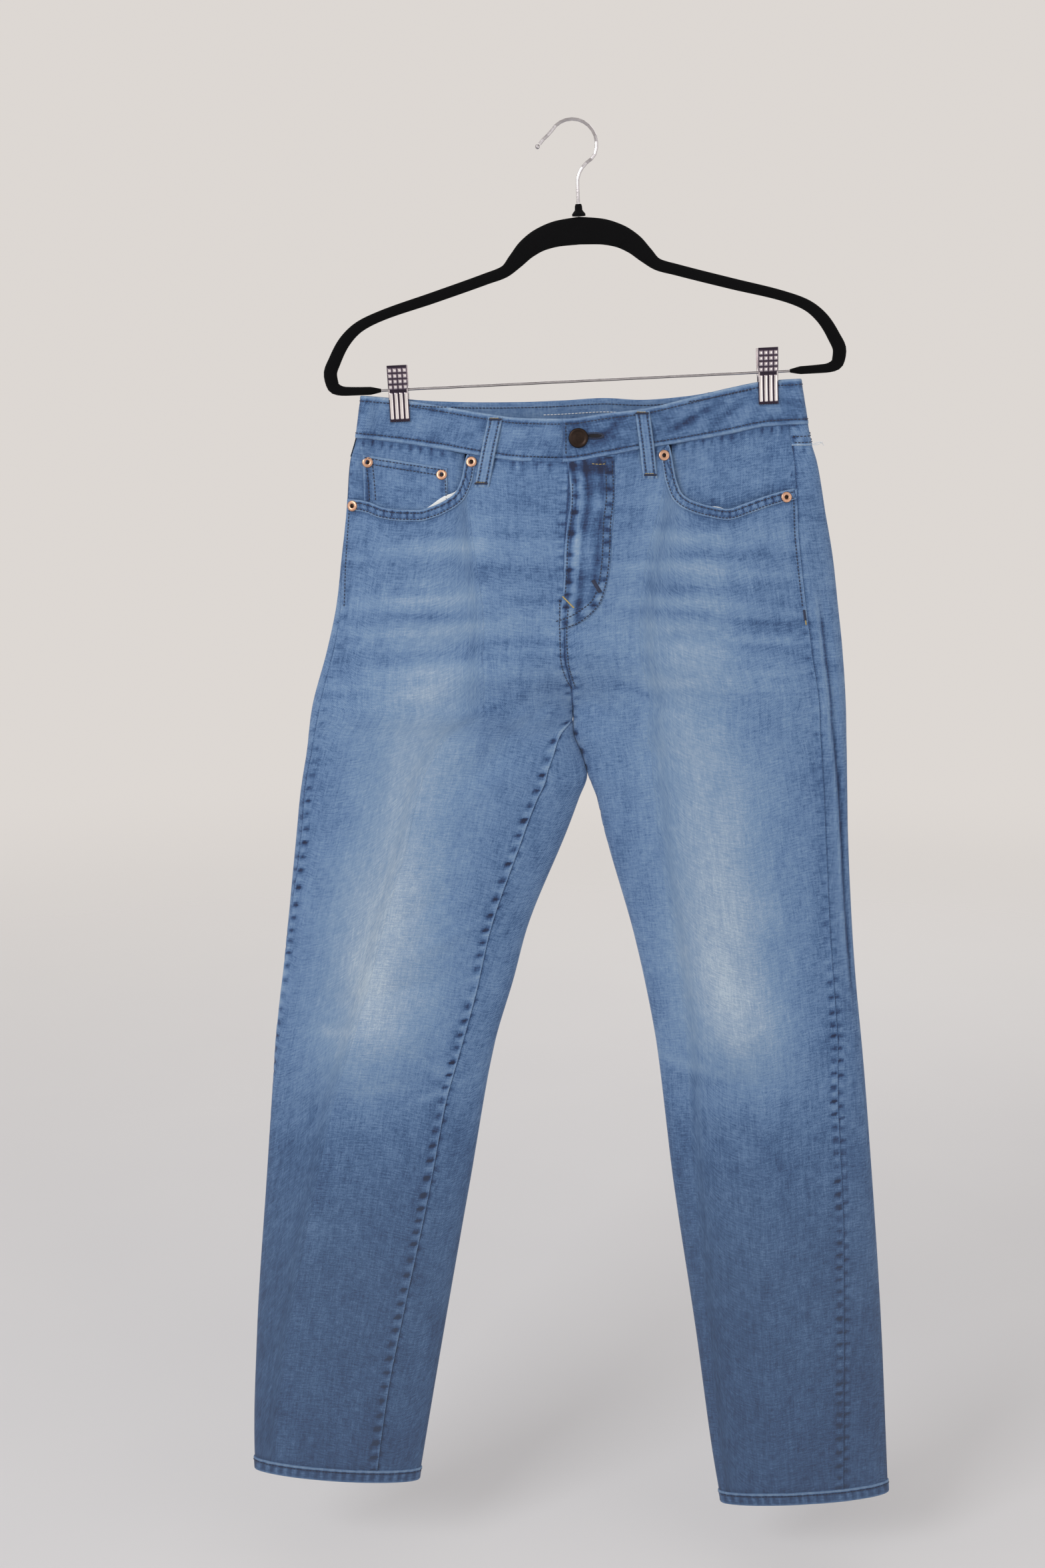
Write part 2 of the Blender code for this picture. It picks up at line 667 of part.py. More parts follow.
def add_sheet(name, grid, lift_out, lift_in, look, round_sheet=False):
    """Add a closed cloth wall. grid holds (point, direction) pairs; a lift is a height
    over them, or a function of row, column and point."""
    def lifted(lift):
        value = lift if callable(lift) else (lambda i, j, point: lift)
        return [[p + n * value(i, j, p) for j, (p, n) in enumerate(row)] for i, row in enumerate(grid)]

    outer = lifted(lift_out)
    inner = lifted(lift_in)
    points = [point * MM for rows in (outer, inner) for row in rows for point in row]
    mesh = bpy.data.meshes.new(name)
    mesh.from_pydata(points, [], close_sheet(outer, inner, round_sheet))
    shape = bmesh.new()
    shape.from_mesh(mesh)
    bmesh.ops.recalc_face_normals(shape, faces=shape.faces)
    shape.to_mesh(mesh)
    shape.free()
    mesh.shade_smooth()
    mesh.set_sharp_from_angle(angle=math.radians(40))
    return add_object(name, mesh, look)


def drawn_back(row, neighbours):
    """Return a row of (point, direction) pairs moved half a gap towards its neighbours."""
    return [(p + (q - p).normalized() * GAP / 2, n) for (p, n), (q, _) in zip(row, neighbours)]


def add_leg_panel(name, grid):
    """Add a leg panel as four shells, one above the other and a gap apart."""
    middle = len(grid[0]) // 2
    last = len(grid) - 1
    bounds = [0]
    for z in PANEL_SPLIT_Z:
        bounds.append(min(range(len(grid)), key=lambda i: abs(grid[i][middle][0].z - z)))
    bounds.append(last)
    for stretch, start, end in zip(PANEL_STRETCHES, bounds, bounds[1:]):
        rows = grid[start:end + 1]
        top = rows[0] if start == 0 else drawn_back(rows[0], rows[1])
        foot = rows[-1] if end == last else drawn_back(rows[-1], rows[-2])
        add_sheet(name + "_" + stretch, [top, *rows[1:-1], foot], 0.0, -CLOTH, denim())


def front_edge(side):
    """Return (column place, x, z) rows of a front panel's upper edge."""
    rows = []
    for edge in FRONT_EDGE:
        x = getattr(edge, side + "_x")
        z = getattr(edge, side + "_z")
        if x is None:
            x = inner_edge(side, WAIST_SEAM[FRONT](CENTRE_X(-278)))
        if z is None:
            z = WAIST_SEAM[FRONT](x) - GAP
        rows.append((edge.at, x, z))
    return rows


def hem_z(side, x):
    """Return the height of the hem's lower edge at x."""
    outer, inner = HEM_Z[side]
    across = (x - EDGE[side](outer)) / (inner_edge(side, inner) - EDGE[side](outer))
    return mix(outer, inner, min(1.0, max(0.0, across)))


def leg_foot(side, s):
    """Return the height at which a panel's column meets the hem band."""
    z = HEM_Z[side][0]
    for _ in range(3):
        z = hem_z(side, place_x(side, s, z)) + HEM_HEIGHT + GAP
    return z


def upper_column(side, regular, top_s, top_z):
    """Return one column's points from its upper edge down to the crotch. A column with a
    top_s starts there and settles to its regular place on the way down."""
    points = []
    for share in reversed(UPPER_ROWS):
        z = mix(CROTCH_Z, top_z, share)
        s = regular(z)
        if top_s is not None:
            s = mix(s, top_s, smooth((share - 0.3) / 0.7))
        points.append(skin_at_place(side, s, z))
    return points


def lower_column(side, regular):
    """Return one column's points from below the crotch down to the hem band."""
    foot = HEM_Z[side][0] + HEM_HEIGHT
    for _ in range(3):
        foot = leg_foot(side, regular(foot))
    points = []
    for share in LOWER_ROWS:
        z = mix(CROTCH_Z, foot, share)
        points.append(skin_at_place(side, regular(z), z))
    return points


def seam_places(side, face, z):
    """Return where a panel starts at the outseam and ends at the inseam."""
    outseam = OUTSEAM[side](z)
    inseam = 1.0 if z > CROTCH_Z else INSEAM[side](z)
    first = outseam + face * -1 * place_step(side, outseam, z, SEAM_HALF_GAP)
    above = z > CROTCH_Z + 1e-6
    pull = 0.0 if above else place_step(side, inseam, z, SEAM_HALF_GAP)
    if face == FRONT:
        return first, inseam - pull
    return first, inseam - 2 + pull


def add_front_leg(side):
    """Add the front panel from waist seam to hem, its upper edge cut for the pocket."""
    columns = []
    for at, x, z in front_edge(side):
        def regular(level, at=at):
            first, last = seam_places(side, FRONT, level)
            return mix(first, last, at)
        top_s = place_s(side, x, z) if 0 < at < 1 else None
        columns.append(upper_column(side, regular, top_s, z) + lower_column(side, regular))
    grid = [list(row) for row in zip(*columns)]
    add_leg_panel("front_leg_" + side, grid)


def back_shares(side, z):
    """Return the places of the back panel's columns, from the outseam to the centre."""
    first, last = seam_places(side, BACK, z)
    if side == RIGHT:
        return [mix(first, last, i / BACK_CELLS) for i in range(BACK_CELLS + 1)]
    pleat = OUTSEAM[LEFT](z) * PLEAT_PLACE(min(PLEAT[0].z, max(PLEAT[-1].z, z)))
    strip = [first, pleat + PLEAT_HALF_WIDTH, pleat - PLEAT_HALF_WIDTH, pleat * 0.4, 0.0]
    rest = BACK_CELLS - PLEAT_STRIP_CELLS + 1
    return strip + [last * i / rest for i in range(1, rest + 1)]


def yoke_foot(side, x, s):
    """Return the height of the yoke's lower seam, a shallow V with its point at the centre."""
    outer = YOKE_OUTER_Z[side]
    across = (x - EDGE[side](outer)) / (inner_edge(side, outer) - EDGE[side](outer))
    slope = mix(outer, YOKE_POINT_Z, across)
    return slope if s <= 0 else outer - 2.0 * s


def add_back_leg(side):
    """Add the back panel from yoke to hem, and the yoke over it."""
    columns = []
    yoke = []
    cells = len(back_shares(side, CROTCH_Z))
    for j in range(cells):
        def regular(level, j=j):
            return back_shares(side, level)[j]
        s = regular(-290.0)
        foot = yoke_foot(side, place_x(side, s, -300.0), s)
        columns.append(upper_column(side, regular, None, foot - GAP) + lower_column(side, regular))
        top = -265.0
        for _ in range(4):
            place = regular(top)
            face = FRONT if place > 0 else BACK
            top = WAIST_SEAM[face](place_x(side, place, top)) - GAP
        rows = []
        for share in (0.0, 0.33, 0.66, 1.0):
            z = mix(top, foot, share)
            rows.append(skin_at_place(side, regular(z), z))
        yoke.append(rows)
    add_leg_panel("back_leg_" + side, [list(row) for row in zip(*columns)])
    add_sheet("yoke_" + side, [list(row) for row in zip(*yoke)], 0.0, -CLOTH, denim())


def add_hem(side):
    """Add the turned hem, a thicker ring at the bottom of the leg."""
    columns = 26
    rows = []
    for share in (0.0, 0.5, 1.0):
        row = []
        for j in range(columns):
            s = -1 + 2 * j / columns
            z = leg_foot(side, s) - GAP - HEM_HEIGHT * share
            row.append(skin_at_place(side, s, z))
        rows.append(row)
    add_sheet("hem_" + side, rows, 0.7, -CLOTH - 0.2, denim(), round_sheet=True)


def band_places():
    """Return (x share, face, tuck) round the band from its top end to its under end."""
    edges = (EDGE[RIGHT](-240.0), EDGE[LEFT](-240.0))
    middle = (edges[0] + edges[1]) / 2
    half = (edges[1] - edges[0]) / 2
    start = math.acos((middle - BAND_TOP_END_X) / half)
    end = 2 * math.pi + math.acos((middle - BAND_UNDER_END_X) / half)
    places = []
    for i in range(BAND_COLUMNS + 1):
        angle = mix(start, end, i / BAND_COLUMNS)
        x = middle - half * math.cos(angle)
        tuck = 0.0
        if angle > 2 * math.pi:
            tuck = -BAND_TUCK * smooth((x - BAND_TUCK_FROM_X) / (BAND_TUCK_TO_X - BAND_TUCK_FROM_X))
        places.append((math.cos(angle), FRONT if math.sin(angle) >= 0 else BACK, tuck))
    return places


def band_column(cosine, face, share):
    """Return a point of the band at a share of its height from seam to top."""
    z = -245.0
    for _ in range(4):
        right = EDGE[RIGHT](z)
        left = EDGE[LEFT](z)
        x = (right + left) / 2 - (left - right) / 2 * cosine
        z = mix(WAIST_SEAM[face](x), BAND_TOP[face](x), share)
    return skin_at_x(face, x, z)


def add_waistband():
    """Add the band, one strip whose top end laps over its under end at the front."""
    places = band_places()
    rows = [[band_column(cosine, face, share) for cosine, face, _ in places] for share in (1.0, 0.5, 0.0)]

    def outer(i, j, point):
        return BAND_RISE + places[j][2]

    def inner(i, j, point):
        return -CLOTH + places[j][2]

    add_sheet("waistband", rows, outer, inner, denim())


def add_belt_loop(loop):
    """Add one belt loop, stitched flat at its top and its foot and free between."""
    rows = []
    for row in LOOP_RISE:
        x = mix(loop.top_x, loop.bottom_x, row.along)
        top = BAND_TOP[loop.face](loop.top_x) - 1.0
        foot = WAIST_SEAM[loop.face](loop.bottom_x) - LOOP_BELOW_SEAM
        z = mix(top, foot, row.along)
        rows.append([skin_at_x(loop.face, x + LOOP_WIDTH * share, z) for share in (-0.5, 0.0, 0.5)])

    def inner(i, j, point):
        return LOOP_RISE[i].lift

    def outer(i, j, point):
        return LOOP_RISE[i].lift + LOOP_THICK

    add_sheet(loop.name, rows, outer, inner, denim())


def mouth_rows(side):
    """Return the (x, z) points of a pocket mouth from the outseam to the waist seam."""
    return [(x, z) for _, x, z in front_edge(side)[:MOUTH_CELLS + 1]]


def add_pocket_edge(side):
    """Add the turned edge of the pocket mouth, a raised band below the curve."""
    mouth = mouth_rows(side)
    centre = 1 if side == RIGHT else -1
    rows = []
    for i, (x, z) in enumerate(mouth):
        before = mouth[max(0, i - 1)]
        after = mouth[min(len(mouth) - 1, i + 1)]
        along = Vector((after[0] - before[0], after[1] - before[1])).normalized()
        away = Vector((along.y, -along.x)) * centre
        width = MOUTH_BAND
        if i == len(mouth) - 1:
            away = Vector((centre, 0.0))
            width = MOUTH_BAND_AT_WAIST
        outer_z = min(z + away.y * width, WAIST_SEAM[FRONT](x + away.x * width) - BUTT)
        far = (x + away.x * width, outer_z)
        rows.append([skin(side, FRONT, mix(x, far[0], t), mix(z, far[1], t)) for t in (0.0, 0.5, 1.0)])
    add_sheet("pocket_edge_" + side, rows, GAP + 0.95, GAP, denim())


def outseam_distance(side, x, z):
    return abs(x - place_x(side, OUTSEAM[side](z), z))


def facing_lift(side):
    """Return the facing's height: at the surface by the outseam and the waist seam, deeper
    under the mouth and behind the front panel."""
    inner_end = mouth_rows(side)[-1][0]

    def lift(i, j, point):
        from_outseam = smooth(outseam_distance(side, point.x, point.z) / FACING_SLOPE)
        from_waist = smooth((WAIST_SEAM[FRONT](point.x) - point.z) / FACING_DROP)
        by_front = smooth(1 - abs(point.x - inner_end) / FACING_SLOPE)
        if abs(point.x) < abs(inner_end):
            by_front = 1.0
        return mix(FACING_EDGE_LIFT, FACING_LIFT, from_outseam * max(from_waist, by_front))
    return lift


def add_pocket_facing(side):
    """Add the facing that shows in the pocket mouth, from waist seam to under the mouth."""
    mouth = mouth_rows(side)
    centre = 1 if side == RIGHT else -1
    places = mouth[:-1] + [(mouth[-1][0] + FACING_END[0] * centre, mouth[-2][1] + FACING_END[1])]
    first = places[0][0]
    last = places[-1][0]
    columns = []
    for mouth_x, z in places:
        share = (mouth_x - first) / (last - first)
        start, end = FACING_TUCK_FROM
        hidden = smooth((outseam_distance(side, mouth_x, z) - start) / (end - start))
        foot = z + 0.6 - FACING_TUCK * hidden
        points = []
        for t in (0.0, 0.25, 0.5, 0.75, 1.0):
            level = -265.0
            for _ in range(3):
                seam = place_x(side, seam_places(side, FRONT, level)[0], level) + centre * 0.5
                x = mix(seam, last, share)
                level = mix(WAIST_SEAM[FRONT](x) - GAP, foot, t)
            points.append(skin(side, FRONT, x, level))
        columns.append(points)
    lift = facing_lift(side)

    def inner(i, j, point):
        return lift(i, j, point) - PATCH

    add_sheet("pocket_facing_" + side, [list(row) for row in zip(*columns)], lift, inner, denim())


def add_pocket_bag(side):
    """Add the pocket bag's front layer, which shows as a pale sliver above the mouth."""
    mouth = mouth_rows(side)
    centre = 1 if side == RIGHT else -1
    places = mouth[2:MOUTH_CELLS] + [(mouth[MOUTH_CELLS][0] + BAG_END[0] * centre, BAG_END[1])]
    columns = []
    for x, z in places:
        peek = LINING_PEEK * math.exp(-((abs(x) - LINING_PEEK_X) / LINING_PEEK_HALF) ** 2)
        top = z - 1.5 + peek if x in [m[0] for m in mouth] else z
        share = (x - places[0][0]) / (places[-1][0] - places[0][0])
        foot = POCKET_BOTTOM_Z + POCKET_BOTTOM_ROUND * (2 * share - 1) ** 2
        columns.append([skin(side, FRONT, x, mix(top, foot, t)) for t in (0.0, 0.2, 0.4, 0.6, 0.8, 1.0)])
    add_sheet("pocket_bag_" + side, [list(row) for row in zip(*columns)], LINING_LIFT,
              LINING_LIFT - LINING, lining())


def add_coin_pocket():
    """Add the coin pocket on the right facing, down to the mouth's edge."""
    mouth = mouth_rows(RIGHT)
    edge = Curve([x for x, _ in mouth], [z for _, z in mouth])
    lift = facing_lift(RIGHT)
    columns = []
    for x in COIN_X:
        top = mix(*COIN_TOP_Z, (x - COIN_X[0]) / (COIN_X[-1] - COIN_X[0]))
        foot = edge(x) + 1.0
        columns.append([skin(RIGHT, FRONT, x, mix(top, foot, t)) for t in (0.0, 0.33, 0.66, 1.0)])

    def inner(i, j, point):
        return lift(i, j, point) + COIN_GAP

    def outer(i, j, point):
        return lift(i, j, point) + COIN_GAP + COIN_THICK

    add_sheet("coin_pocket", [list(row) for row in zip(*columns)], outer, inner, denim())


def add_back_pocket(side):
    """Add a plain five-sided patch pocket on the back panel."""
    steps = range(BACK_POCKET_CELLS + 1)
    rows = []
    for v in (i / BACK_POCKET_CELLS for i in steps):
        row = []
        for u in (2 * j / BACK_POCKET_CELLS - 1 for j in steps):
            half = mix(BACK_POCKET_TOP_HALF, BACK_POCKET_FOOT_HALF, v)
            depth = BACK_POCKET_SIDE + BACK_POCKET_POINT * (1 - abs(u))
            row.append(skin(side, BACK, BACK_POCKET_X[side] + half * u, BACK_POCKET_TOP_Z - depth * v))
        rows.append(row)
    add_sheet("back_pocket_" + side, rows, BACK_POCKET_GAP + BACK_POCKET_THICK, BACK_POCKET_GAP, denim())


def add_fly():
    """Add the fly lap, zip and fly shield at the front centre."""
    rows = []
    for row in FLY:
        levels = []
        for share in (0.0, 0.25, 0.5, 0.75, 1.0):
            x = mix(row.edge_x, row.stitch_x, share)
            z = WAIST_SEAM[FRONT](x) - BUTT if row.z is None else row.z
            levels.append(skin_at_x(FRONT, x, z))
        rows.append(levels)
    add_sheet("fly_front", rows, GAP + 0.9, GAP, denim())

    tape = [[skin_at_x(FRONT, x, z) for x in ZIP_X] for z in ZIP_Z]
    add_sheet("zip", tape, ZIP_LIFT, ZIP_LIFT - ZIP_THICK, brass())
    slider = [[skin_at_x(FRONT, x, z) for x in SLIDER_X] for z in SLIDER_Z]
    slider_lift = ZIP_LIFT - ZIP_THICK - GAP
    add_sheet("zip_slider", slider, slider_lift, slider_lift - SLIDER_THICK, brass())

    shield = [[skin_at_x(FRONT, x, z) for x in SHIELD_X] for z in SHIELD_Z]

    def shield_lift(i, j, point):
        start, end = SHIELD_BEND_X
        return mix(ZIP_LIFT, SHIELD_LIFT, smooth((point.x - start) / (end - start)))

    def shield_back(i, j, point):
        return shield_lift(i, j, point) - SHIELD_THICK

    add_sheet("fly_shield", shield, shield_lift, shield_back, denim())


def aim(normal):
    """Return the rotation that turns +Z to a direction."""
    return normal.to_track_quat("Z", "X").to_matrix().to_4x4()


def seat(item, point, normal, lift):
    """Stand an object on the cloth."""
    item.matrix_world = Matrix.Translation((point + normal * lift) * MM) @ aim(normal)


def turned(name, profile, steps, look):
    """Add a body turned from (radius, height) rows, given from top to bottom."""
    mesh = bpy.data.meshes.new(name)
    points = [(radius * MM, 0, z * MM) for radius, z in profile]
    mesh.from_pydata(points, [(i, i + 1) for i in range(len(points) - 1)], [])
    item = add_object(name, mesh, look)
    screw = item.modifiers.new("turn", "SCREW")
    screw.steps = steps
    screw.render_steps = steps
    screw.use_merge_vertices = True
    screw.merge_threshold = 0.00001
    screw.use_smooth_shade = True
    return item


def add_rivet(rivet):
    """Add a copper rivet cap with a low rim."""
    item = turned(rivet.name, RIVET_PROFILE, 12, copper())
    point, normal = skin_at_x(FRONT, rivet.x, rivet.z)
    seat(item, point, normal, rivet.lift)


def add_button():
    """Add the metal shank button on the waistband."""
    item = turned("button", BUTTON_PROFILE, 18, dark_metal())
    point, normal = skin_at_x(FRONT, BUTTON_X, BUTTON_Z)
    seat(item, point, normal, BAND_RISE + GAP)


def smooth_path(points, step):
    """Return points along a soft curve through hand-placed ones."""
    lengths = [0.0]
    for a, b in zip(points, points[1:]):
        lengths.append(lengths[-1] + math.dist(a, b))
    axes = [Curve(lengths, [point[k] for point in points]) for k in range(len(points[0]))]
    count = max(2, round(lengths[-1] / step))
    return [tuple(axis(lengths[-1] * i / count) for axis in axes) for i in range(count + 1)]


def curve_tube(name, points, radius, look, parent):
    """Add a round wire along points, with closed ends."""
    data = bpy.data.curves.new(name, "CURVE")
    data.dimensions = "3D"
    data.bevel_depth = radius * MM
    data.bevel_resolution = 2
    data.use_fill_caps = True
    spline = data.splines.new("POLY")
    spline.points.add(len(points) - 1)
    for point, place in zip(spline.points, points):
        point.co = (*(value * MM for value in place), 1)
    item = add_object(name, data, look)
    item.parent = parent
    return item


def flat_outline(name, outlines, half_thickness, look):
    """Add a flat plate from closed (x, y) outlines; a second outline is its hole."""
    data = bpy.data.curves.new(name, "CURVE")
    data.dimensions = "2D"
    data.fill_mode = "BOTH"
    data.extrude = half_thickness * MM
    for outline in outlines:
        spline = data.splines.new("POLY")
        spline.points.add(len(outline) - 1)
        spline.use_cyclic_u = True
        for point, place in zip(spline.points, outline):
            point.co = (place[0] * MM, place[1] * MM, 0, 1)
    return add_object(name, data, look)


def to_mesh(item):
    """Replace a curve object by a mesh object of the same shape, caps welded."""
    bpy.context.view_layer.update()
    evaluated = item.evaluated_get(bpy.context.evaluated_depsgraph_get())
    mesh = bpy.data.meshes.new_from_object(evaluated)
    shape = bmesh.new()
    shape.from_mesh(mesh)
    bmesh.ops.remove_doubles(shape, verts=shape.verts, dist=0.00001)
    bmesh.ops.recalc_face_normals(shape, faces=shape.faces)
    shape.to_mesh(mesh)
    shape.free()
    name = item.name
    look = item.data.materials[0]
    place = item.matrix_world.copy()
    bpy.data.objects.remove(item, do_unlink=True)
    made = add_object(name, mesh, look)
    made.matrix_world = place
    return made


def add_hanger_body(parent):
    """Add the velvet hanger, one flat bow with its ends turned in to the bar."""
    half = smooth_path([tuple(row) for row in HANGER_ARM], 11.0)
    path = [(-x, z, width) for x, z, width in reversed(half[1:])] + half
    upper = []
    lower = []
    for i, (x, z, width) in enumerate(path):
        before = path[max(0, i - 1)]
        after = path[min(len(path) - 1, i + 1)]
        along = Vector((after[0] - before[0], after[1] - before[1])).normalized()
        upper.append((x - along.y * width / 2, z + along.x * width / 2))
        lower.append((x + along.y * width / 2, z - along.x * width / 2))
    item = to_mesh(flat_outline("hanger_body", [upper + lower[::-1]], HANGER_THICK / 2, velvet()))
    bevel = item.modifiers.new("soft edges", "BEVEL")
    bevel.width = 1.2 * MM
    bevel.segments = 1
    bevel.limit_method = "ANGLE"
    bevel.angle_limit = math.radians(60)
    item.parent = parent
    item.location = (HANGER_X * MM, 0, 0)
    item.rotation_euler = (math.radians(90), 0, 0)
    item.data.shade_smooth()
    item.data.set_sharp_from_angle(angle=math.radians(40))


def add_hook(parent):
    """Add the wire hook, its tip ball and the collar that it stands in."""
    arc_z = -HOOK_RADIUS
    radius = HOOK_RADIUS + WIRE_RADIUS
    points = list(HOOK_STEM)
    for degrees in HOOK_ARC_DEGREES:
        angle = math.radians(degrees)
        points.append(Wire(radius * math.cos(angle), 0.0, arc_z + radius * math.sin(angle)))
    points += HOOK_END
    curve_tube("hanger_hook", smooth_path(points, 5.0), WIRE_RADIUS, chrome(), parent)

    bpy.ops.mesh.primitive_uv_sphere_add(segments=10, ring_count=6, radius=HOOK_TIP_RADIUS * MM)
    ball = bpy.context.object
    ball.name = "hook_tip"
    ball.data.materials.append(chrome())
    for owner in list(ball.users_collection):
        owner.objects.unlink(ball)
    PARTS.objects.link(ball)
    ball.data.shade_smooth()
    ball.parent = parent
    ball.location = Vector(HOOK_TIP) * MM

    collar = turned("hanger_collar", COLLAR_PROFILE, 16, velvet())
    collar.parent = parent
    collar.location = (HANGER_X * MM, 0, 0)


def add_bar(parent):
    """Add the straight wire between the hanger's two feet."""
    bpy.ops.mesh.primitive_cylinder_add(vertices=12, radius=BAR_RADIUS * MM, depth=2 * BAR_END * MM)
    bar = bpy.context.object
    bar.name = "hanger_bar"
    bar.data.materials.append(chrome())
    for owner in list(bar.users_collection):
        owner.objects.unlink(bar)
    PARTS.objects.link(bar)
    bar.data.shade_smooth()
    bar.data.set_sharp_from_angle(angle=math.radians(40))
    bar.parent = parent
    bar.location = (HANGER_X * MM, 0, BAR_Z * MM)
    bar.rotation_euler = (0, math.radians(90), 0)


def jaw_outline():
    """Return the closed side outline of a jaw plate, as (y, z)."""
    inner = []
    outer = []
    rows = smooth_path([tuple(row) for row in JAW], 7.0)
    for i, (y, z) in enumerate(rows):
        before = rows[max(0, i - 1)]
        after = rows[min(len(rows) - 1, i + 1)]
        along = Vector((after[0] - before[0], after[1] - before[1])).normalized()
        inner.append((y - along.y * PLATE / 2, z + along.x * PLATE / 2))
        outer.append((y + along.y * PLATE / 2, z - along.x * PLATE / 2))
    return inner + outer[::-1]


def add_jaw(name, side, way, ear_x, parent):
    """Add one jaw: a bent plate with two ears round the bar. way is -1 at the front."""
    plate = to_mesh(flat_outline(name, [jaw_outline()], CLIP_HALF_WIDTH, chrome()))
    hub = BAR_Z - CLIP_Z
    ear_outline = [(point.y, hub + point.z) for point in EAR_OUTLINE]
    turns = [2 * math.pi * i / EAR_HOLE_SIDES for i in range(EAR_HOLE_SIDES)]
    hole = [(EAR_HOLE * math.cos(turn), hub + EAR_HOLE * math.sin(turn)) for turn in turns]
    for sign in (-1, 1):
        ear = to_mesh(flat_outline(name + "_ear", [ear_outline, hole], EAR / 2, chrome()))
        PARTS.objects.unlink(ear)
        CUTTERS.objects.link(ear)
        ear.hide_render = True
        ear.display_type = "WIRE"
        ear.parent = plate
        ear.location = (0, 0, ear_x * sign * MM)
        union = plate.modifiers.new("ear", "BOOLEAN")
        union.operation = "UNION"
        union.object = ear
    plate.parent = parent
    turn = Matrix(((0, 0, 1), (way, 0, 0), (0, 1, 0))).to_4x4()
    if way < 0:
        turn = Matrix(((0, 0, -1), (-1, 0, 0), (0, 1, 0))).to_4x4()
    plate.matrix_local = Matrix.Translation(Vector((CLIP_HANGER_X[side], 0, CLIP_Z)) * MM) @ turn


def add_clip(side, parent):
    """Add the two jaws and the spring of one clip on the bar."""
    add_jaw("clip_front_" + side, side, FRONT, CLIP_HALF_WIDTH - 0.7, parent)
    add_jaw("clip_back_" + side, side, BACK, CLIP_HALF_WIDTH - 2.2, parent)
    points = []
    steps = SPRING_TURNS * SPRING_STEPS
    for i in range(steps + 1):
        angle = 2 * math.pi * i / SPRING_STEPS
        x = CLIP_HANGER_X[side] + mix(-SPRING_HALF_LENGTH, SPRING_HALF_LENGTH, i / steps)
        points.append((x, SPRING_RADIUS * math.cos(angle), BAR_Z + SPRING_RADIUS * math.sin(angle)))
    curve_tube("clip_spring_" + side, points, SPRING_WIRE, chrome(), parent)


def add_hanger():
    """Add the hanger and its clips, tilted as they hang."""
    frame = bpy.data.objects.new("hanger_frame", None)
    PARTS.objects.link(frame)
    frame.rotation_euler = (0, HANGER_TILT, 0)
    add_hanger_body(frame)
    add_hook(frame)
    add_bar(frame)
    for side in (RIGHT, LEFT):
        add_clip(side, frame)


def add_jeans():
    """Add every sewn piece of the jeans."""
    add_waistband()
    add_fly()
    add_coin_pocket()
    add_button()
    for side in (RIGHT, LEFT):
        add_front_leg(side)
        add_back_leg(side)
        add_hem(side)
        add_pocket_edge(side)
        add_pocket_facing(side)
        add_pocket_bag(side)
        add_back_pocket(side)
    for loop in LOOPS:
        add_belt_loop(loop)
    for rivet in RIVETS:
        add_rivet(rivet)


clear_scene()
PARTS = collection("slim_jeans")
CUTTERS = collection("cutters")
add_jeans()
add_hanger()
bpy.context.view_layer.update()
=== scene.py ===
"""Looks of slim washed jeans clipped to a flocked hanger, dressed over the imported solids.

The frame's origin is the inside top of the hook. +X is the viewer's right, +Y points away
from the viewer and +Z is up. Lengths are in millimetres until MM makes them metres.
"""

import math
from collections import namedtuple

import bmesh
import bpy
import numpy as np
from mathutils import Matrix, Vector
from mathutils.bvhtree import BVHTree


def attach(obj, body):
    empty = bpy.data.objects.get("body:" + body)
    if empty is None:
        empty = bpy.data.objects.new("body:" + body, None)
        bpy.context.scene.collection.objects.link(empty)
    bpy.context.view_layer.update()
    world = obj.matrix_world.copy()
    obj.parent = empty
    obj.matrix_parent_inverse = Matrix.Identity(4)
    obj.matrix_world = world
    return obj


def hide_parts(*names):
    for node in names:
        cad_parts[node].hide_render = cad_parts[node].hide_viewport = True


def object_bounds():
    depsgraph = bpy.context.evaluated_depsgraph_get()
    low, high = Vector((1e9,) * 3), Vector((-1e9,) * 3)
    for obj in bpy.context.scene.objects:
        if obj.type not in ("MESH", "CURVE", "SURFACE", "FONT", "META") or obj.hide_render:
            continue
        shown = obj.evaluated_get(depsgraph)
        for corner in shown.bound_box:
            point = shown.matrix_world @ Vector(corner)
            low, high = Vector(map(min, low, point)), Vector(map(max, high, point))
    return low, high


def table(names, rows):
    """Return rows of named values."""
    row_of = namedtuple("Row", names)
    return [row_of(*row) for row in rows]


def grouped(groups):
    """Return rows that start with what their whole group shares."""
    return [(*shared, *row) for shared, rows in groups.items() for row in rows]


MM = 0.001
RIGHT, LEFT = "right", "left"
SIDES = (RIGHT, LEFT)
FRONT, BACK = -1, 1

# Cloth and thread; FAR is a distance from a seam that nothing beside it reaches
CLOTH = 1.4
LAP = 0.5
ROLL = 1.3
HEM_HEIGHT = 13.0
HEM_SEAM = 0.24
STITCH_PITCH = 3.0
STITCH_LENGTH = 2.3
THREAD_RADIUS = 0.44
FAR = 99.0

# The garment's form, as in the solids
CROTCH_Z = -492.0
CROTCH_ARCH = 60.0
WAIST_FADE_TOP = -255.0
WAIST_FADE = 110.0
HIP_DEPTH = {FRONT: 28.0, BACK: 24.0}
CLIP_X = {RIGHT: -145.5, LEFT: 167.5}
CLIP_HALF_FLAT = 9.5
WAIST_PINCH = 1.7
WAIST_BULGE = {FRONT: 14.0, BACK: 10.0}
WAIST_LOOP = 14.0

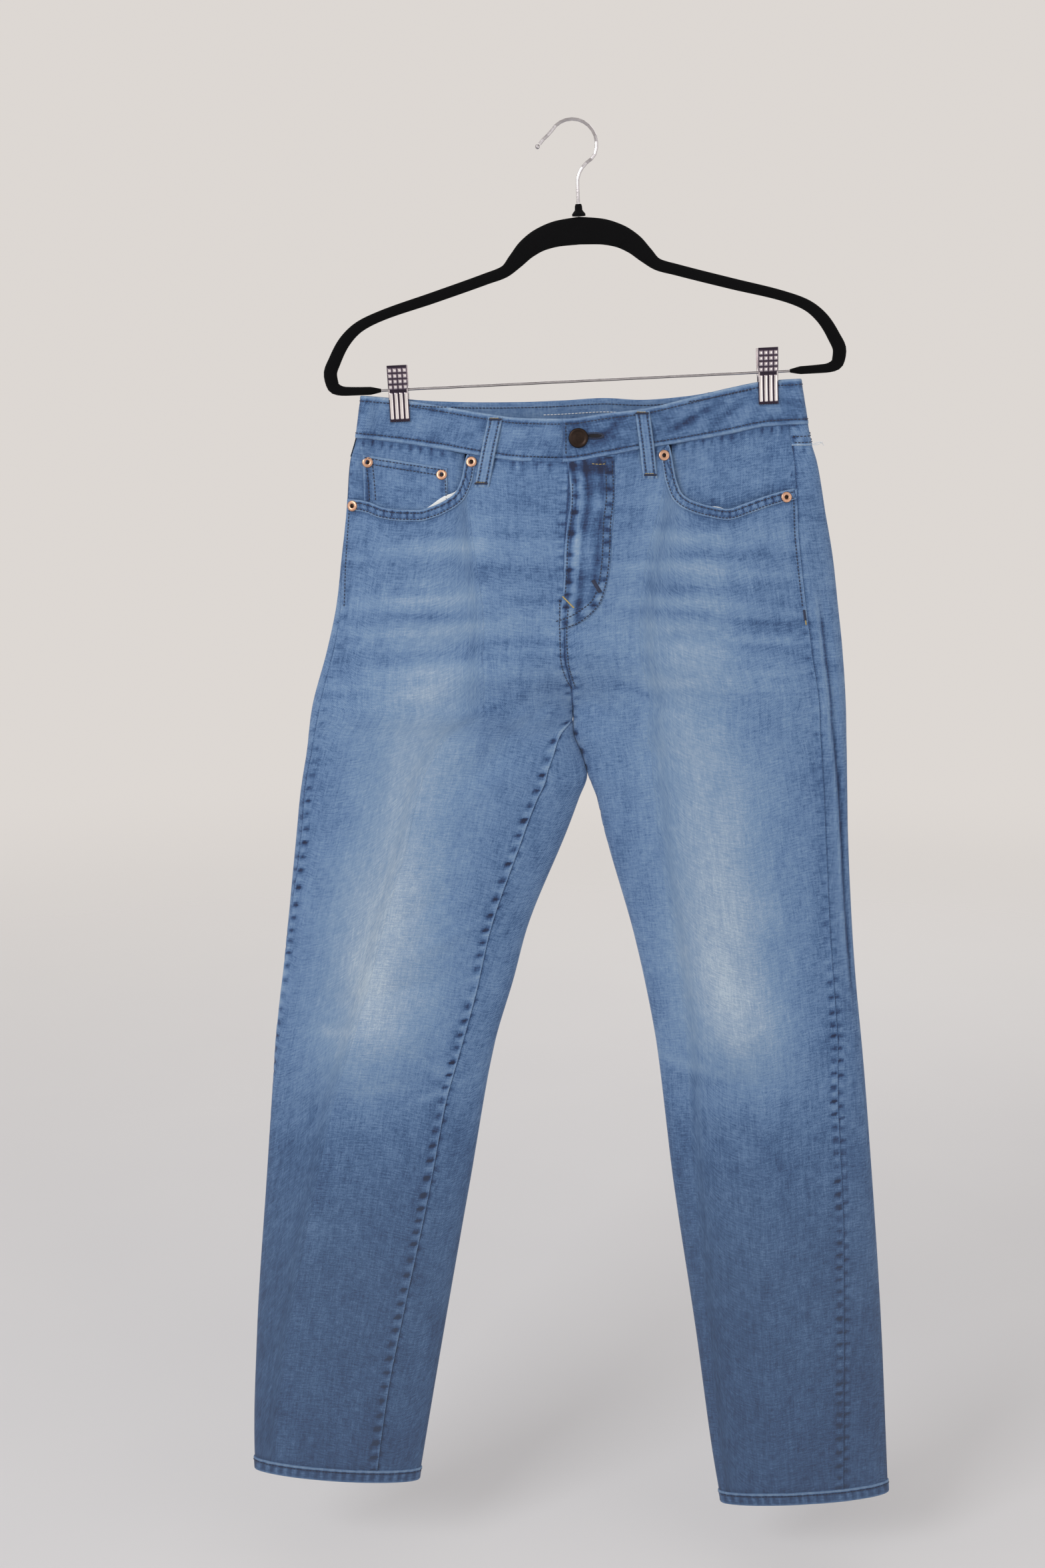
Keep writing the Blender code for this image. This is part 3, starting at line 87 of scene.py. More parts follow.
SECTIONS = table("z right_edge right_inner left_inner left_edge front_depth back_depth", [
    (-205, -174.5, 3.8, 4.2, 194.5, 23, 21),
    (-222, -176.6, 3.8, 4.2, 197.5, 23, 21),
    (-258, -182.0, 3.8, 4.2, 205.0, 23, 21),
    (-280, -188.0, 3.8, 4.2, 212.0, 23, 21),
    (-320, -191.5, 3.8, 4.2, 220.0, 23, 21),
    (-360, -196.5, 3.8, 4.2, 227.8, 23, 21),
    (-400, -201.5, 3.8, 4.2, 233.4, 23, 21),
    (-440, -210.5, 3.8, 4.2, 238.8, 23, 21),
    (-492, -225.0, 3.8, 4.2, 243.5, 23, 21),
    (-512, -228.0, 4.6, 5.0, 244.5, 23, 21),
    (-532, -230.6, 12.0, 12.4, 245.6, 23, 21),
    (-551, -234.0, 17.0, 17.6, 246.5, 23, 21),
    (-572, -237.3, 10.0, 25.5, 247.5, 23, 21),
    (-600, -240.5, 0.0, 32.0, 248.8, 23, 21),
    (-690, -251.0, -35.5, 58.0, 255.4, 22, 20),
    (-740, -257.0, -48.5, 70.0, 260.5, 21, 19),
    (-800, -264.3, -65.5, 81.5, 268.0, 20, 18),
    (-930, -276.0, -88.0, 98.5, 282.0, 18, 17),
    (-1080, -288.8, -113.5, 122.0, 296.0, 17, 16),
    (-1205, -294.6, -134.0, 140.0, 305.3, 15, 15),
    (-1262, -293.5, -143.0, 150.0, 309.5, 15, 15),
])

# Places of the seams round a section: 0 is the outer edge, 1 the inner edge, front positive
SEAMS = table("z right_outseam right_inseam left_outseam left_inseam", [
    (-245, 0.02, 1.00, 0.175, 1.00),
    (-300, 0.03, 1.00, 0.211, 1.00),
    (-360, 0.07, 1.00, 0.236, 1.00),
    (-440, 0.12, 1.00, 0.227, 1.00),
    (-492, 0.12, 1.00, 0.213, 1.00),
    (-512, 0.11, 0.86, 0.212, 1.01),
    (-531, 0.10, 0.79, 0.211, 1.02),
    (-551, 0.09, 0.749, 0.210, 1.04),
    (-600, 0.10, 0.735, 0.210, 1.08),
    (-700, 0.06, 0.740, 0.220, 1.13),
    (-780, 0.00, 0.746, 0.231, 1.16),
    (-860, -0.07, 0.718, 0.258, 1.19),
    (-950, -0.14, 0.705, 0.270, 1.22),
    (-1050, -0.20, 0.681, 0.301, 1.25),
    (-1150, -0.26, 0.660, 0.327, 1.28),
    (-1262, -0.32, 0.655, 0.361, 1.31),
])

CENTRE = table("z x", [
    (-205, -3.0),
    (-290, -1.0),
    (-350, -4.0),
    (-440, -4.0),
    (-470, 2.0),
    (-492, 4.0),
])

WAIST = table("x front_top back_top front_seam back_seam", [
    (-190, -222.6, -222.6, -258.0, -258.0),
    (-178, -223.0, -223.0, -258.6, -258.6),
    (-145, -226.0, -225.4, -262.3, -261.6),
    (-110, -231.5, -227.8, -267.3, -264.2),
    (-70, -238.0, -228.6, -274.0, -265.5),
    (-40, -241.5, -228.3, -277.3, -265.4),
    (-5, -242.0, -227.0, -278.0, -264.4),
    (30, -237.5, -225.0, -272.8, -263.0),
    (60, -234.0, -226.5, -267.3, -262.8),
    (100, -225.0, -223.4, -261.0, -259.8),
    (135, -216.5, -217.0, -255.0, -255.0),
    (168, -210.5, -210.5, -248.5, -248.6),
    (196, -208.9, -208.9, -246.9, -246.9),
    (212, -208.6, -208.6, -246.6, -246.6),
])
BAND_TOP_END_X = -6.3
BAND_UNDER_END_X = 33.0
BAND_TUCK = 3.2
BAND_TUCK_FROM_X = -48.0
BAND_TUCK_TO_X = -12.0

HEM_Z = {RIGHT: (-1223.0, -1234.0), LEFT: (-1247.0, -1258.0)}

# Upper edge of each front panel from the outseam: pocket mouth, then waist seam
MOUTH_END = 0.55
FRONT_EDGE = table("at right_x right_z left_x left_z", [
    (0.00, -189.8, -310.3, 191.6, -301.0),
    (0.05, -181.0, -310.6, 184.0, -302.5),
    (0.11, -171.0, -312.6, 175.0, -304.8),
    (0.17, -158.5, -317.0, 163.0, -308.4),
    (0.23, -144.5, -318.6, 149.0, -313.3),
    (0.29, -130.0, -318.8, 134.0, -317.6),
    (0.35, -118.0, -316.0, 119.5, -315.2),
    (0.40, -107.0, -311.2, 106.0, -311.4),
    (0.45, -97.6, -304.6, 95.0, -304.6),
    (0.50, -92.2, -293.5, 89.8, -292.0),
    (0.55, -86.5, -272.0, 83.0, -263.8),
    (0.65, -64.0, -275.0, 60.0, -267.6),
    (0.77, -43.0, -277.3, 38.0, -271.8),
    (0.89, -22.0, -278.3, 17.0, -275.3),
    (1.00, -1.5, -278.3, -1.1, -278.3),
])
MOUTH_BAND = 9.5

# Pleat beside the left outseam
PLEAT = table("z place depth", [
    (-380, 0.78, 0.0),
    (-415, 0.75, 2.2),
    (-480, 0.74, 3.0),
    (-590, 0.58, 3.0),
    (-690, 0.52, 2.4),
    (-780, 0.46, 0.0),
])
PLEAT_HALF_WIDTH = 0.013

# Folds of each side and face, the solids' own first: a ridge, or a trough if negative
FOLDS = table("side face x z run tilt width height", grouped({
    (RIGHT, FRONT): [
        (-95, -432, 75, 6, 17, -1.6), (-80, -462, 80, 12, 15, 1.5), (-60, -528, 60, 30, 16, -2.0),
        (-165, -800, 60, 10, 26, 2.2), (-205, -1110, 55, 12, 24, -1.6), (-35, -500, 34, 40, 5, -0.8),
        (-50, -482, 44, 30, 6, 0.7), (-60, -300, 40, 62, 8, -0.6), (-128, -668, 34, 34, 8, -0.9),
        (-118, -700, 40, 26, 7, 0.8), (-150, -742, 52, 14, 9, -0.9), (-215, -770, 40, -16, 10, 0.8),
        (-200, -850, 60, 12, 11, -0.9), (-150, -1010, 40, -22, 11, 0.6),
    ],
    (LEFT, FRONT): [
        (110, -425, 80, -5, 17, -1.6), (95, -458, 85, -10, 15, 1.5), (75, -528, 60, -28, 16, -2.0),
        (170, -790, 60, -8, 26, 2.2), (215, -1120, 55, -10, 24, -1.6), (40, -500, 36, -42, 5, -0.8),
        (56, -484, 44, -30, 6, 0.7), (48, -330, 42, -70, 9, 0.6), (150, -345, 60, 6, 8, -0.5),
        (112, -690, 40, -30, 9, -0.8), (128, -745, 52, -14, 9, 0.9), (160, -832, 66, 8, 11, -1.0),
        (150, -868, 52, -8, 10, 0.8), (160, -960, 46, -24, 12, -0.7), (215, -1040, 44, 18, 12, 0.6),
    ],
    (RIGHT, BACK): [
        (-165, -760, 75, 8, 20, -2.2), (-170, -805, 75, -6, 20, -2.0), (-90, -520, 80, -18, 18, -2.0),
        (-60, -470, 60, -34, 10, -1.0), (-110, -500, 70, -22, 11, 0.9), (-180, -560, 60, 12, 12, -0.8),
        (-150, -700, 60, -14, 11, 0.9), (-180, -840, 60, 10, 10, 0.8), (-200, -1060, 50, -14, 12, -0.8),
    ],
    (LEFT, BACK): [
        (175, -755, 75, -8, 20, -2.2), (180, -802, 75, 6, 20, -2.0), (95, -520, 80, 18, 18, -2.0),
        (66, -470, 60, 34, 10, -1.0), (118, -500, 70, 22, 11, 0.9), (185, -560, 60, -12, 12, -0.8),
        (160, -700, 60, 14, 11, 0.9), (188, -846, 60, -10, 10, 0.8), (212, -1080, 50, 14, 12, -0.8),
    ],
}))

# Height below which the side seams are gathered strongly
GATHERS_FROM = {RIGHT: -470.0, LEFT: -640.0}

# Stretches of each leg panel, from its top to the hem
LEG_STRETCHES = ("hip", "thigh", "knee", "shin")

# Whiskers and worn patches, and painted shade below the band by the fly: how much paler the cloth is round x,
# z
FADES = table("side face x z run tilt width pale", grouped({
    (RIGHT, FRONT): [
        (-96, -349, 70, 3, 6, 0.13), (-104, -366, 60, -2, 4, -0.08), (-100, -392, 76, 4, 6, 0.14),
        (-118, -408, 60, 2, 4, -0.1), (-108, -420, 72, 5, 5, 0.11), (-110, -440, 70, 8, 5, -0.08),
        (-118, -455, 70, 8, 7, 0.1), (-114, -470, 58, 12, 8, 0.1), (-60, -486, 50, 22, 5, -0.05),
        (-186, -738, 34, 0, 44, 0.05), (-128, -752, 26, 24, 13, 0.09), (-114, -822, 20, -34, 4, 0.13),
        (-118, -842, 24, 24, 4, 0.12), (-108, -832, 16, -6, 4, -0.07), (-218, -783, 22, 2, 5, 0.07),
        (-170, -838, 30, 8, 6, 0.07),
    ],
    (LEFT, FRONT): [
        (118, -344, 76, -2, 6, 0.14), (112, -357, 70, 0, 4, -0.1), (116, -368, 74, -4, 5, 0.13),
        (118, -384, 74, -3, 4, -0.1), (110, -398, 80, -4, 5, 0.13), (120, -409, 74, -5, 4, -0.1),
        (118, -422, 78, -6, 5, 0.15), (122, -440, 78, -8, 7, 0.11), (128, -456, 64, -10, 8, 0.1),
        # The two darker patches below the band by the fly, at x 20 and 10, are painted shade under the band
        (66, -476, 54, -20, 5, -0.07), (20, -300, 16, 0, 16, -0.12), (10, -284, 26, 0, 5, -0.16),
        (160, -742, 40, -10, 40, 0.06), (110, -815, 26, -16, 5, 0.12), (122, -830, 28, -10, 5, -0.06),
        (174, -776, 24, 38, 5, 0.08), (163, -862, 12, 0, 16, -0.06),
    ],
    (RIGHT, BACK): [
        (-98, -410, 62, 0, 60, 0.12), (-110, -506, 70, -18, 8, 0.10), (-160, -590, 50, 0, 60, 0.09),
        (-168, -782, 70, 4, 8, 0.14), (-160, -742, 62, -10, 6, 0.10), (-172, -826, 60, -12, 7, 0.09),
        (-84, -528, 66, -24, 6, 0.09), (-140, -545, 60, 8, 30, 0.06),
    ],
    (LEFT, BACK): [
        (104, -410, 62, 0, 60, 0.12), (114, -506, 70, 18, 8, 0.10), (166, -590, 50, 0, 60, 0.09),
        (176, -780, 70, -4, 8, 0.14), (168, -740, 62, 10, 6, 0.10), (182, -824, 60, 12, 7, 0.09),
        (92, -526, 66, 24, 6, 0.09), (146, -545, 60, -8, 30, 0.06),
    ],
}))

# Worn streak down the middle of each thigh, and how pale the legs are on the way down
STREAK = table("z right_x left_x pale base", [
    (-240, -95, 92, 0.02, 0.42),
    (-330, -105, 88, 0.06, 0.43),
    (-380, -118, 95, 0.10, 0.45),
    (-420, -118, 97, 0.13, 0.46),
    (-490, -128, 104, 0.23, 0.45),
    (-560, -142, 122, 0.29, 0.43),
    (-640, -156, 131, 0.36, 0.42),
    (-720, -170, 140, 0.42, 0.41),
    (-780, -180, 148, 0.41, 0.40),
    (-815, -184, 152, 0.22, 0.42),
    (-860, -190, 158, 0.08, 0.38),
    (-900, -194, 163, 0.03, 0.34),
    (-960, -200, 175, 0.02, 0.315),
    (-1050, -210, 200, 0.01, 0.285),
    (-1150, -218, 215, 0.01, 0.25),
    (-1262, -224, 225, 0.00, 0.235),
])
STREAK_WIDTH = 54.0
STREAK_CORE = 27.0

FLY = table("z edge_x stitch_x", [
    (-274.5, -3.0, 35.5),
    (-292, -0.5, 36.3),
    (-308, 0.5, 36.3),
    (-330, -2.5, 34.6),
    (-350, -4.5, 33.6),
    (-368, -5.0, 32.4),
    (-384, -5.5, 29.2),
    (-396, -7.0, 24.6),
    (-406, -8.0, 17.0),
    (-413, -8.2, 8.0),
    (-418, -8.4, -3.0),
])

LOOPS = table("name face top_x bottom_x", [
    ("belt_loop_front_right", FRONT, -62.8, -74.9),
    ("belt_loop_front_left", FRONT, 60.6, 68.2),
    ("belt_loop_back_right", BACK, -108.0, -112.0),
    ("belt_loop_back_centre", BACK, 6.0, 5.0),
    ("belt_loop_back_left", BACK, 124.0, 128.0),
])
LOOP_WIDTH = 12.5
LOOP_THICK = 1.6
LOOP_BELOW_SEAM = 26.0
LOOP_RISE = table("along lift", [
    (0.00, 1.55),
    (0.10, 1.6),
    (0.28, 2.5),
    (0.46, 2.7),
    (0.62, 2.2),
    (0.76, 1.1),
    (0.88, 0.35),
    (1.00, 0.35),
])

# Depths of what lies behind the front
LINING_LIFT = -CLOTH - 0.9
FACING_LIFT = LINING_LIFT - 1.4
FACING_EDGE_LIFT = -0.2
FACING_SLOPE = 22.0
FACING_DROP = 24.0
COIN_RISE = 1.7
SHIELD_LIFT = -5.6

RIVETS = table("name x z", [
    ("rivet_coin_outer", -172.5, -278.6),
    ("rivet_coin_inner", -109.3, -288.4),
    ("rivet_right_upper", -83.6, -278.4),
    ("rivet_right_lower", -185.6, -315.6),
    ("rivet_left_upper", 79.8, -272.8),
    ("rivet_left_lower", 184.6, -308.0),
])
RIVET_RADIUS = 4.6
BUTTON_X, BUTTON_Z = 7.0, -258.0
BUTTONHOLE_X, BUTTONHOLE_Z = 20.0, -256.2
BUTTONHOLE_STITCHES = 34
BUTTON_RADIUS = 8.3

# Hanger, in its own upright frame before it is tilted about the origin
HANGER_TILT = math.radians(-2.7)
HANGER_X = 3.2
HANGER_THICK = 5.6
HANGER_ARM = table("x z width", [
    (0, -88.0, 22.5),
    (17, -89.4, 21.2),
    (32, -93.4, 19.0),
    (44.5, -100.6, 16.6),
    (54.5, -110.0, 13.4),
    (64, -118.2, 10.0),
    (80, -123.4, 9.4),
    (125, -136.6, 9.2),
    (170, -149.4, 8.6),
    (189, -157.6, 9.2),
    (202, -169.2, 10.2),
    (211, -184.0, 10.8),
    (215.8, -196.0, 11.4),
    (213.6, -206.4, 10.6),
    (204, -210.2, 7.6),
    (173.5, -211.0, 6.4),
])
BAR_Z = -211.0
CLIP_HANGER_X = {RIGHT: -155.6, LEFT: 157.6}
CLIP_Z = -214.0
CLIP_HALF_WIDTH = 8.4
PLATE = 1.3
JAW = table("y z", [
    (3.95, -23.3),
    (3.95, -9.0),
    (5.3, 1.0),
    (7.4, 12.0),
    (8.6, 23.3),
])

# Flat cut of a piece of cloth, in millimetres, with the area where it isn't a rectangle; no piece here is
# given one
Cut = namedtuple("Cut", "width length share")

CAMERA_AT = (-0.04023, -1.69718, -0.21433)
CAMERA_PITCH = math.radians(78.5)
CAMERA_LENS = 45
CAMERA_SENSOR = 36
FLOOR_DROP = 0.07
LIT_MIDDLE = (0.0, 0.0, -0.6)


class Curve:
    """A smooth curve through (place, value) rows that never overshoots them."""

    def __init__(self, places, values):
        order = np.argsort(places)
        self.places = np.array(places, float)[order]
        self.values = np.array(values, float)[order]
        slopes = np.diff(self.values) / np.diff(self.places)
        product = slopes[:-1] * slopes[1:]
        total = np.where(product > 0, slopes[:-1] + slopes[1:], 1.0)
        middle = np.where(product > 0, 2 * product / total, 0.0)
        self.tangents = np.concatenate([slopes[:1], middle, slopes[-1:]])

    def __call__(self, place):
        place = np.asarray(place, float)
        held = np.clip(place, self.places[0], self.places[-1])
        i = np.clip(np.searchsorted(self.places, held, side="right") - 1, 0, len(self.places) - 2)
        span = self.places[i + 1] - self.places[i]
        t = (held - self.places[i]) / span
        start = (1 + 2 * t) * (1 - t) ** 2 * self.values[i]
        end = t * t * (3 - 2 * t) * self.values[i + 1]
        bend = t * (1 - t) ** 2 * self.tangents[i] - t * t * (1 - t) * self.tangents[i + 1]
        beyond = np.where(place < held, self.tangents[0], self.tangents[-1]) * (place - held)
        return start + end + span * bend + beyond


def column(rows, place, value):
    """Return the curve of one named column over another."""
    return Curve([getattr(row, place) for row in rows], [getattr(row, value) for row in rows])


def smooth(t):
    """Return an eased step from 0 to 1."""
    t = np.clip(t, 0.0, 1.0)
    return t * t * (3 - 2 * t)


def mix(a, b, t):
    return a + (b - a) * t


def bell(t):
    return np.exp(-np.square(t))


def run_along(points):
    """Return the length run from the start of a path to each of its points."""
    return np.concatenate([[0.0], np.cumsum(np.linalg.norm(np.diff(points, axis=0), axis=1))])


EDGE = {side: column(SECTIONS, "z", side + "_edge") for side in SIDES}
INNER = {side: column(SECTIONS, "z", side + "_inner") for side in SIDES}
LEG_DEPTH = {FRONT: column(SECTIONS, "z", "front_depth"), BACK: column(SECTIONS, "z", "back_depth")}
OUTSEAM = {side: column(SEAMS, "z", side + "_outseam") for side in SIDES}
INSEAM = {side: column(SEAMS, "z", side + "_inseam") for side in SIDES}
CENTRE_X = column(CENTRE, "z", "x")
BAND_TOP = {FRONT: column(WAIST, "x", "front_top"), BACK: column(WAIST, "x", "back_top")}
WAIST_SEAM = {FRONT: column(WAIST, "x", "front_seam"), BACK: column(WAIST, "x", "back_seam")}
PLEAT_PLACE = column(PLEAT, "z", "place")
PLEAT_DEPTH = column(PLEAT, "z", "depth")
STREAK_X = {RIGHT: column(STREAK, "z", "right_x"), LEFT: column(STREAK, "z", "left_x")}
STREAK_PALE = column(STREAK, "z", "pale")
BASE_PALE = column(STREAK, "z", "base")
MOUTH_X = {side: column(FRONT_EDGE, "at", side + "_x") for side in SIDES}
MOUTH_Z = {side: column(FRONT_EDGE, "at", side + "_z") for side in SIDES}


NOISE = np.random.default_rng(7).uniform(-1, 1, (128, 128))


def cloudy(u, v, seed=0):
    """Return soft noise between -1 and 1 over two coordinates."""
    u = np.asarray(u, float) + 17.3 * seed
    v = np.asarray(v, float) + 31.7 * seed
    i = np.floor(u).astype(int)
    j = np.floor(v).astype(int)
    across = smooth(u - i)
    down = smooth(v - j)
    low = mix(NOISE[i % 128, j % 128], NOISE[(i + 1) % 128, j % 128], across)
    high = mix(NOISE[i % 128, (j + 1) % 128], NOISE[(i + 1) % 128, (j + 1) % 128], across)
    return mix(low, high, down)


def rough(t, seed):
    return cloudy(t, 3.7 * seed)


def inner_edge(side, z):
    """Return x of the leg's inner edge, or of the centre seam above the crotch."""
    middle = (INNER[RIGHT](z) + INNER[LEFT](z)) / 2
    if side == RIGHT:
        leg = np.minimum(INNER[RIGHT](z), middle)
    else:
        leg = np.maximum(INNER[LEFT](z), middle)
    return np.where(np.asarray(z) >= CROTCH_Z, CENTRE_X(z), leg)


def by_face(face, front, back):
    """Choose between the front's value and the back's."""
    return np.where(face < 0, front, back)


def waist_depth_squared(face, x, z):
    """Return the square of the waist's depth: flat at the clips, open between them."""
    first = CLIP_X[RIGHT]
    last = CLIP_X[LEFT]
    inside = np.maximum(0.0, np.minimum(x - first, last - x) - CLIP_HALF_FLAT)
    t = inside / (last - first - 2 * CLIP_HALF_FLAT)
    bulge = by_face(face, WAIST_BULGE[FRONT], WAIST_BULGE[BACK])
    between = (WAIST_PINCH + bulge * np.sin(np.pi * t) ** 2) ** 2
    depth = between
    for side, way in ((RIGHT, 1), (LEFT, -1)):
        loop = (CLIP_X[side] - EDGE[side](z)) * way - CLIP_HALF_FLAT
        t = np.clip((x - EDGE[side](z)) * way / loop, 0.0, 1.0)
        beside = WAIST_LOOP ** 2 * t * (1 - t) ** 4 + WAIST_PINCH ** 2 * (1 - (1 - t) ** 6)
        depth = np.where((x - CLIP_X[side]) * way < 0, beside, depth)
    return depth


def depth_squared(side, face, x, z):
    """Return the square of the garment's depth from its middle plane at x, z."""
    right = EDGE[RIGHT](z)
    left = EDGE[LEFT](z)
    legs = 1 - smooth((z - CROTCH_Z) / CROTCH_ARCH)
    waist = 1 - smooth((WAIST_FADE_TOP - z) / WAIST_FADE)
    across = (x - (right + left) / 2) / ((left - right) / 2)
    depth = by_face(face, HIP_DEPTH[FRONT], HIP_DEPTH[BACK]) ** 2 * (1 - across ** 2)
    outer = EDGE[side](z)
    inner = inner_edge(side, z)
    across = (x - (outer + inner) / 2) / ((inner - outer) / 2)
    leg_depth = by_face(face, LEG_DEPTH[FRONT](z), LEG_DEPTH[BACK](z))
    depth = mix(depth, leg_depth ** 2 * (1 - across ** 2), legs)
    return mix(depth, waist_depth_squared(face, x, z), waist)


def wrap(s):
    """Bring places round a section back between -1 and 1."""
    return np.where(s > 1, s - 2, np.where(s < -1, s + 2, s))


def place_x(side, s, z):
    """Return x of a place round the section."""
    return mix(EDGE[side](z), inner_edge(side, z), (1 - np.cos(np.pi * s)) / 2)


def place_s(side, x, z):
    """Return the place round the front of the section at x."""
    across = (x - EDGE[side](z)) / (inner_edge(side, z) - EDGE[side](z))
    return np.arccos(np.clip(1 - 2 * across, -1.0, 1.0)) / np.pi


def place_step(side, s, z, distance):
    """Return how far to move round the section to cover a distance."""
    width = np.abs(inner_edge(side, z) - EDGE[side](z)) / 2
    depth = LEG_DEPTH[FRONT](z)
    return distance / (np.pi * np.hypot(width * np.sin(np.pi * s), depth * np.cos(np.pi * s)))


def pleat_relief(side, s, z):
    """Return the groove and lip of the pleat beside the left outseam."""
    if side != LEFT:
        return np.zeros_like(s)
    t = (s - OUTSEAM[LEFT](z) * PLEAT_PLACE(z)) / PLEAT_HALF_WIDTH
    shape = 0.35 * bell((t - 1) / 1.26) - bell((t + 1) / 1.26)
    inside = (z > PLEAT[-1].z) & (z < PLEAT[0].z) & (s > 0)
    return np.where(inside, PLEAT_DEPTH(z) * shape, 0.0)


def soft_relief(rows, value, side, face, x, z):
    """Add up soft ridges, or patches of colour, at each point."""
    total = np.zeros_like(x)
    for row in rows:
        if row.side != side:
            continue
        tilt = math.radians(row.tilt)
        along = (x - row.x) * math.cos(tilt) + (z - row.z) * math.sin(tilt)
        across = (z - row.z) * math.cos(tilt) - (x - row.x) * math.sin(tilt)
        uneven = 1 + 0.35 * cloudy(x / 31, z / 23, row.width)
        wander = across + 0.25 * row.width * cloudy(x / 27, z / 90, row.run)
        bump = getattr(row, value) * uneven * bell(along / row.run) * bell(wander / row.width)
        total += np.where(face == row.face, bump, 0.0)
    return total


def rumple(x, z, face):
    """Return the small unevenness of hanging cloth."""
    broad = 0.55 * cloudy(x / 52, z / 64, 1.5 + face)
    fine = 0.16 * cloudy(x / 17, z / 21, 4.5 + face)
    return broad + fine


def skin(side, face, x, z, relief=0.0):
    """Return points of the panels' outer face and their outward directions."""
    face = np.broadcast_to(face, np.shape(x))
    z = np.broadcast_to(z, np.shape(x)).astype(float)
    depth = np.sqrt(np.maximum(0.0, depth_squared(side, face, x, z)))
    step = 0.05
    across = depth_squared(side, face, x + step, z) - depth_squared(side, face, x - step, z)
    down = depth_squared(side, face, x, z + step) - depth_squared(side, face, x, z - step)
    normal = np.stack([-across / (2 * step), 2 * face * depth, -down / (2 * step)], axis=-1)
    normal /= np.linalg.norm(normal, axis=-1, keepdims=True)
    folds = soft_relief(FOLDS, "height", side, face, x, z) + rumple(x, z, face)
    height = folds * np.minimum(1.0, depth / 8) + relief
    point = np.stack([x, face * depth, z], axis=-1) + normal * height[..., None]
    return point, normal


def paleness(side, face, x, z):
    """Return how pale the wash has left the cloth, from 0 dark to 1 white."""
    front = face < 0
    from_streak = x - STREAK_X[side](z) + 9 * cloudy(x / 60, z / 40, 21)
    streak = 0.86 * bell(from_streak / STREAK_WIDTH) + 0.14 * bell(from_streak / STREAK_CORE)
    pale = BASE_PALE(z) + STREAK_PALE(z) * np.where(front, 1.0, 0.25) * streak
    pale = pale + soft_relief(FADES, "pale", side, face, x, z)
    hip = smooth((z + 520) / 60) * smooth((-290 - z) / 40)
    pale += 0.060 * hip * cloudy(x / 75, z / 7.0, 2) + 0.022 * hip * cloudy(x / 40, z / 3.2, 4)
    pale += (0.035 * cloudy(x / 38, z / 60, 6) + 0.028 * cloudy(x / 12, z / 30, 8)
             + 0.03 * cloudy(x / 5, z / 5, 10))
    return pale + np.where(front, 0.0, 0.02)


def only(where, distance):
    """Return distances that reach only part of a piece."""
    return np.where(where, distance, FAR)


class Cloth:
    """A grid of points on the garment: where they are, which way is out, and how pale they are, worn paler in
    places and darkened with painted shade in others.
    """

    def __init__(self, point, normal, pale):
        self.point = point
        self.normal = normal
        self.pale = pale
        steps = np.linalg.norm(np.diff(point, axis=1), axis=2)
        self.across = np.concatenate([np.zeros((len(point), 1)), np.cumsum(steps, axis=1)], axis=1)
        steps = np.linalg.norm(np.diff(point, axis=0), axis=2)
        self.down = np.concatenate([np.zeros((1, point.shape[1])), np.cumsum(steps, axis=0)], axis=0)

    @property
    def x(self):
        return self.point[..., 0]

    @property
    def z(self):
        return self.point[..., 2]

    @property
    def across_left(self):
        return self.across[:, -1:] - self.across

    @property
    def down_left(self):
        return self.down[-1:, :] - self.down

    def lift(self, height):
        self.point = self.point + self.normal * np.broadcast_to(height, self.pale.shape)[..., None]

    def roll(self, thick, edges):
        """Raise the piece by its thickness, with its named free edges rolled down."""
        distances = {"first": self.across, "last": self.across_left,
                     "top": self.down, "bottom": self.down_left}
        nearest = np.full(self.pale.shape, FAR)
        for edge in edges:
            nearest = np.minimum(nearest, distances[edge])
        t = np.minimum(1.0, nearest / ROLL)
        self.lift(thick * np.sqrt(1 - (1 - t) ** 2))
        self.pale = self.pale + 0.16 * bell((nearest - 0.7) / 0.9)

    def pucker(self, along, away, wave, reach, depth, seed):
        """Draw the dark gathers beside a seam that runs along, at a distance away from it: sunk, and darkened
        partly with painted shade and partly as less worn cloth, with paler worn ridges between them.
        """
        beat = np.cos(2 * np.pi * (along / wave + 0.55 * rough(along / 45, seed)))
        strength = np.maximum(0.0, beat) ** 3 * (0.75 + 0.6 * rough(along / 19, seed + 5))
        window = smooth((away - 0.6) / 1.4) * smooth((reach - away) / (0.55 * reach))
        gather = strength * window
        self.lift(-depth * gather)
        between = np.maximum(0.0, -beat) ** 2 * window
        # Painted shade, together with the less worn cloth, darkens the gathers; the ridges between are worn
        # paler
        self.pale = self.pale - 0.80 * depth * gather + 0.22 * depth * between

    def cord(self, away, height, width, pale):
        """Raise the worn cord of a seam at a distance of nothing."""
        line = bell(away / width)
        self.lift(height * line)
        self.pale = self.pale + pale * line

    def shade(self, away, width, dark):
        """Paint shade as a darker strip beside a seam."""
        self.pale = self.pale - dark * bell(away / width)


def lay(side, face, x, z, relief=0.0):
    """Lay cloth on the skin at x, z."""
    point, normal = skin(side, face, x, z, relief)
    return Cloth(point, normal, paleness(side, np.broadcast_to(face, x.shape), x, z))


def lay_row(side, face, x, z):
    return lay(side, face, x[None, :], z[None, :])


def lay_at_place(side, s, z):
    """Lay cloth at places round the section."""
    s = wrap(s)
    face = np.where(s >= 0, FRONT, BACK)
    return lay(side, face, place_x(side, s, z), z, pleat_relief(side, s, z))


